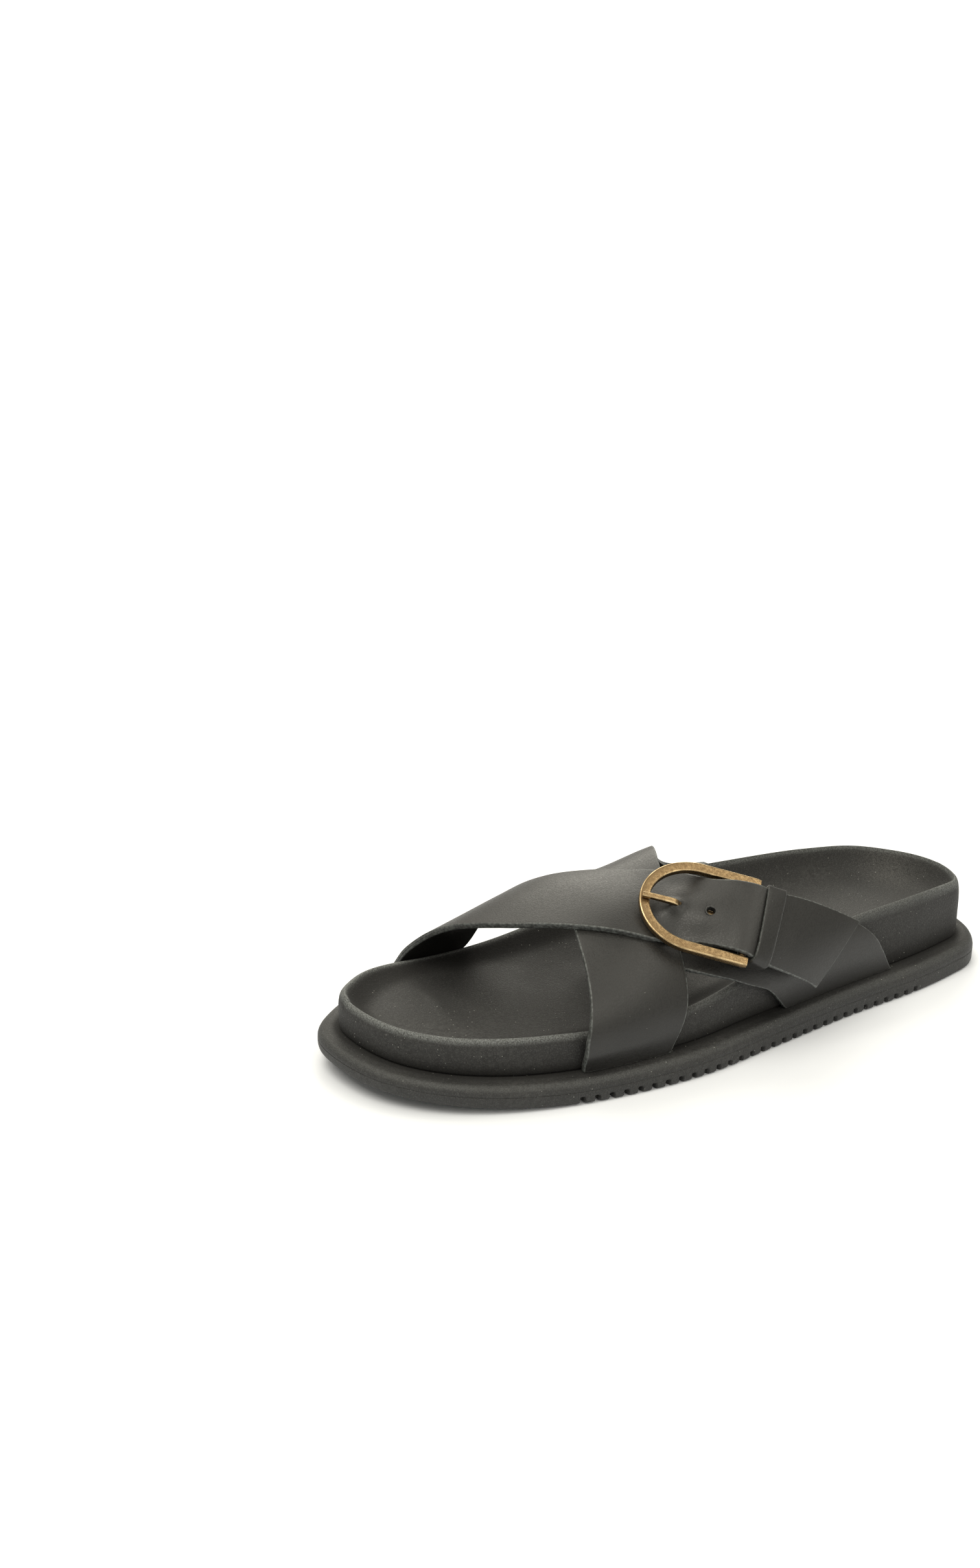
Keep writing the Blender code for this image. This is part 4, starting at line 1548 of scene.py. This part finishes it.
@dataclass
class Prong:
    """Tongue that turns on the bar, comes up through the strap and rests on the frame."""

    buckle: BuckleFrame
    bar: Bar
    material: bpy.types.Material
    radius: float = 1.1
    squareness: float = 4.0
    steps: int = 70
    sides: int = 24
    taper: float = 0.12
    tip_round: float = 0.55
    eye_radius: float = 2.3
    eye_bevel: float = 0.2
    eye_half: float = 1.4
    eye_flat: float = 0.8
    eye_steps: int = 33
    clearance: float = 0.3
    eye_across: float = 0.6
    bends: tuple[Row, ...] = (
        # along, across, height
        (2.6, 0.6, -0.6),
        (9.0, 0.6, -0.6),
        (20.0, 0.62, -0.75),
        (24.0, 0.75, -0.65),
        (26.0, 0.9, 0.4),
        (27.6, 1.05, 1.8),
        (31.0, 1.3, 2.25),
        (35.0, 1.6, 2.6),
        (39.0, 1.9, 2.8),
    )

    def path(self, steps: int) -> np.ndarray:
        """Middle line of the tongue.

        Args:
            steps: number of points.

        Returns:
            Points in millimetres.
        """
        rows = np.asarray(self.bends)
        count = np.arange(len(rows))
        at = np.linspace(0.0, len(rows) - 1.0, steps)
        return self.buckle.place(*(curve(count, rows[:, k], at) for k in range(3)))

    def build(self) -> bpy.types.Object:
        """Build and dress the tongue with its eye.

        Returns:
            The new piece.
        """
        share = np.linspace(0.0, 1.0, self.steps)
        slim = 1.0 - self.taper * ease(share, 0.6, 1.0)
        tip = np.sqrt(1.0 - self.tip_round * ease(share, 0.985, 1.02))
        points = Bar.tube(self.path(self.steps), self.radius * slim * tip, self.sides, self.squareness)
        # bright corners of the tongue's section: rubbing wear, and a painted highlight along its edges
        rub = np.abs(np.sin(2.0 * np.linspace(0.0, 2.0 * math.pi, self.sides + 1))) ** 3
        piece = Bench.loft("prong", points, {"border": np.tile(rub[None, :], (self.steps, 1))})
        turn = np.linspace(0.0, 2.0 * math.pi, self.eye_steps)
        bore = self.bar.radius + self.clearance
        bevel = self.eye_radius - self.eye_bevel
        half = ((self.eye_radius, self.eye_flat), (bevel, 1.0), (bore, 1.0))
        other = tuple((radius, -side) for radius, side in half[::-1])
        ring = (other[-1], *half, *other)
        lines = []
        for radius, side in ring:
            height = radius * np.sin(turn) - self.bar.drop
            across = self.eye_across + self.eye_half * side
            lines.append(self.buckle.place(self.bar.along + radius * np.cos(turn), across, height))
        eye = Bench.loft("prong_eye", np.stack(lines), {"border": np.zeros((len(ring), len(turn)))})
        Bench.cut(piece, eye, "UNION")
        Bench.smooth(piece, 45.0)
        Bench.dress(piece, [self.material])
        return Bench.seat(piece, "buckle_prong", "prong_metal")


@dataclass
class Horseshoe:
    """Horseshoe frame of the buckle, of a square section with rounded corners."""

    buckle: BuckleFrame
    material: bpy.types.Material
    length: float = 40.0
    half_width: float = 16.25
    straight: float = 19.9
    band: float = 3.7
    height: float = 2.8
    end: float = -1.1
    squareness: float = 5.5
    sides: int = 32
    leg_steps: int = 12
    bow_steps: int = 73
    end_shrink: float = 0.86
    corner_rub_and_highlight: Row = (0.72, 0.98)

    def build(self) -> bpy.types.Object:
        """Build and dress the frame.

        Returns:
            The new piece.
        """
        legs = np.linspace(self.end, self.straight, self.leg_steps, endpoint=False)
        turn = np.linspace(0.0, math.pi, self.bow_steps)
        bow = self.length - 0.5 * self.band - self.straight
        along = np.concatenate([legs, self.straight + bow * np.sin(turn), legs[::-1]])
        sides = np.concatenate([0.0 * legs + 1.0, np.cos(turn), 0.0 * legs - 1.0])
        path = self.buckle.place(along, self.half_width * sides, 0.0)
        up = self.buckle.axes()[2]
        side = unit(np.cross(np.gradient(path, axis=0), up))
        angle = np.linspace(0.0, 2.0 * math.pi, self.sides + 1) + math.pi / self.sides
        wide, high = superellipse(angle, self.squareness)
        shrink = np.ones(len(path))
        shrink[[0, -1]] = self.end_shrink
        flat = 0.5 * self.band * wide[None, :, None] * side[:, None, :]
        section = flat + 0.5 * self.height * high[None, :, None] * up
        points = path[:, None, :] + section * shrink[:, None, None]
        # bright corners of the frame's section: rubbing wear, and a painted highlight along its edges
        corner = 1.0 - np.abs(np.abs(wide) - np.abs(high))
        rub = np.tile(ease(corner, *self.corner_rub_and_highlight)[None, :], (len(path), 1))
        piece = Bench.loft("horseshoe", points, {"border": rub})
        Bench.smooth(piece, 40.0)
        Bench.dress(piece, [self.material])
        return Bench.seat(piece, "buckle_frame", "buckle_metal")


@dataclass
class Studio:
    """Pale floor, soft light and the camera."""

    camera_place: Row = (469.03, -334.65, 295.0)
    camera_azimuth: float = 61.272
    camera_elevation: float = 19.854
    lens: float = 38.843
    sensor: float = 36.0
    near_clip: float = 0.01
    far_clip: float = 50.0
    floor_radius: float = 1.0
    floor_sides: int = 96
    sky: float = 0.46
    backdrop: Colour = (1.2, 1.2, 1.2)
    tint: Colour = (1.05, 1.01, 0.90)
    lamp_reach: float = 1.5
    lamp_side: float = 0.9
    lamps: tuple[Row, ...] = (
        # azimuth from the toe towards the outer side, elevation, brightness
        (-120.0, 34.0, 3.6),
        (-75.0, 55.0, 1.9),
        (15.0, 62.0, 4.3),
        (95.0, 40.0, 2.1),
        (150.0, 58.0, 1.8),
    )

    def floor(self, finish: StudioFloor) -> bpy.types.Object:
        """Lay the floor.

        Args:
            finish: finish of the floor.

        Returns:
            The floor, which is no part of the shoe.
        """
        Bench.clear()
        bpy.ops.mesh.primitive_circle_add(
            vertices=self.floor_sides, radius=self.floor_radius, fill_type="NGON"
        )
        piece = bpy.context.active_object
        piece.name = "studio_floor"
        Bench.dress(piece, [finish.material()])
        return piece

    @staticmethod
    def direction(azimuth: float, elevation: float) -> Vector:
        """Direction from the shoe at two angles.

        Args:
            azimuth: degrees from the toe towards the outer side.
            elevation: degrees up from the floor.

        Returns:
            A unit vector.
        """
        turn = math.radians(azimuth)
        rise = math.radians(elevation)
        return Vector((math.sin(turn) * math.cos(rise), -math.cos(turn) * math.cos(rise), math.sin(rise)))

    def light(self) -> None:
        """Hang the lamps and set the even light around them."""
        for k, (azimuth, elevation, brightness) in enumerate(self.lamps):
            lamp = bpy.data.lights.new(f"softbox_{k}", "AREA")
            lamp.shape = "SQUARE"
            lamp.size = self.lamp_side
            lamp.color = self.tint
            lamp.energy = math.pi * self.lamp_side**2 * brightness
            way = self.direction(azimuth, elevation)
            holder = bpy.data.objects.new(f"softbox_{k}", lamp)
            bpy.context.scene.collection.objects.link(holder)
            holder.location = way * self.lamp_reach
            holder.rotation_mode = "QUATERNION"
            holder.rotation_quaternion = (-way).to_track_quat("-Z", "Y")
        world = bpy.data.worlds.new("studio")
        world.use_nodes = True
        background = world.node_tree.nodes["Background"]
        graph = Graph(world.node_tree)
        seen = graph.add("ShaderNodeLightPath").outputs["Is Camera Ray"]
        even = tuple(self.sky * value for value in self.tint)
        graph.feed(background.inputs["Color"], graph.mix(seen, even, self.backdrop))
        bpy.context.scene.world = world
        bpy.context.scene.view_settings.view_transform = "Standard"

    def camera(self) -> None:
        """Set the camera at the photograph's viewing angle."""
        data = bpy.data.cameras.new("camera")
        data.sensor_width = self.sensor
        data.lens = self.lens
        data.clip_start = self.near_clip
        data.clip_end = self.far_clip
        holder = bpy.data.objects.new("camera", data)
        bpy.context.scene.collection.objects.link(holder)
        back = self.direction(self.camera_azimuth, self.camera_elevation)
        holder.location = Vector(self.camera_place) * MM
        holder.rotation_mode = "QUATERNION"
        holder.rotation_quaternion = (-back).to_track_quat("-Z", "Y")
        bpy.context.scene.camera = holder


def main() -> None:
    """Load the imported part, build every piece in order and set the scene."""
    logging.basicConfig(level=logging.INFO, format="%(message)s")
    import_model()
    effects = Effects()
    last = Last()
    leather = [
        GrainLeather("strap_grain", (0.0065, 0.0063, 0.0058), 0.40).material(effects),
        CutLeather("strap_cut", (0.006, 0.006, 0.006), 0.85).material(effects),
    ]
    sole_finish = MouldedRubber("sole_skin", (0.0125, 0.0129, 0.0125), 0.60, rub_and_highlight_share=0.5)
    footbed_colour = (0.0085, 0.0084, 0.0081)
    footbed_finish = MouldedRubber("footbed_skin", footbed_colour, 0.72, granules=1000.0, depth=0.28)
    brass = AntiqueBrass("antique_brass", (0.36, 0.25, 0.13), 0.28).material(effects)
    Sole(last, sole_finish).build(effects)
    Footbed(last, footbed_finish).build(effects)
    buckle = BuckleFrame()
    bar = Bar(buckle, brass)
    prong = Prong(buckle, bar, brass)
    upper = Upper(last, buckle, leather)
    upper.build(prong)
    BuckleStrap(last, leather).build()
    Horseshoe(buckle, brass).build()
    bar.build()
    prong.build()
    Keeper(last, upper.over, leather).build()
    studio = Studio()
    studio.floor(StudioFloor("studio_floor", (0.89, 0.915, 0.97), 0.6))
    studio.light()
    studio.camera()
    Bench.clear()


if __name__ == "__main__":
    main()
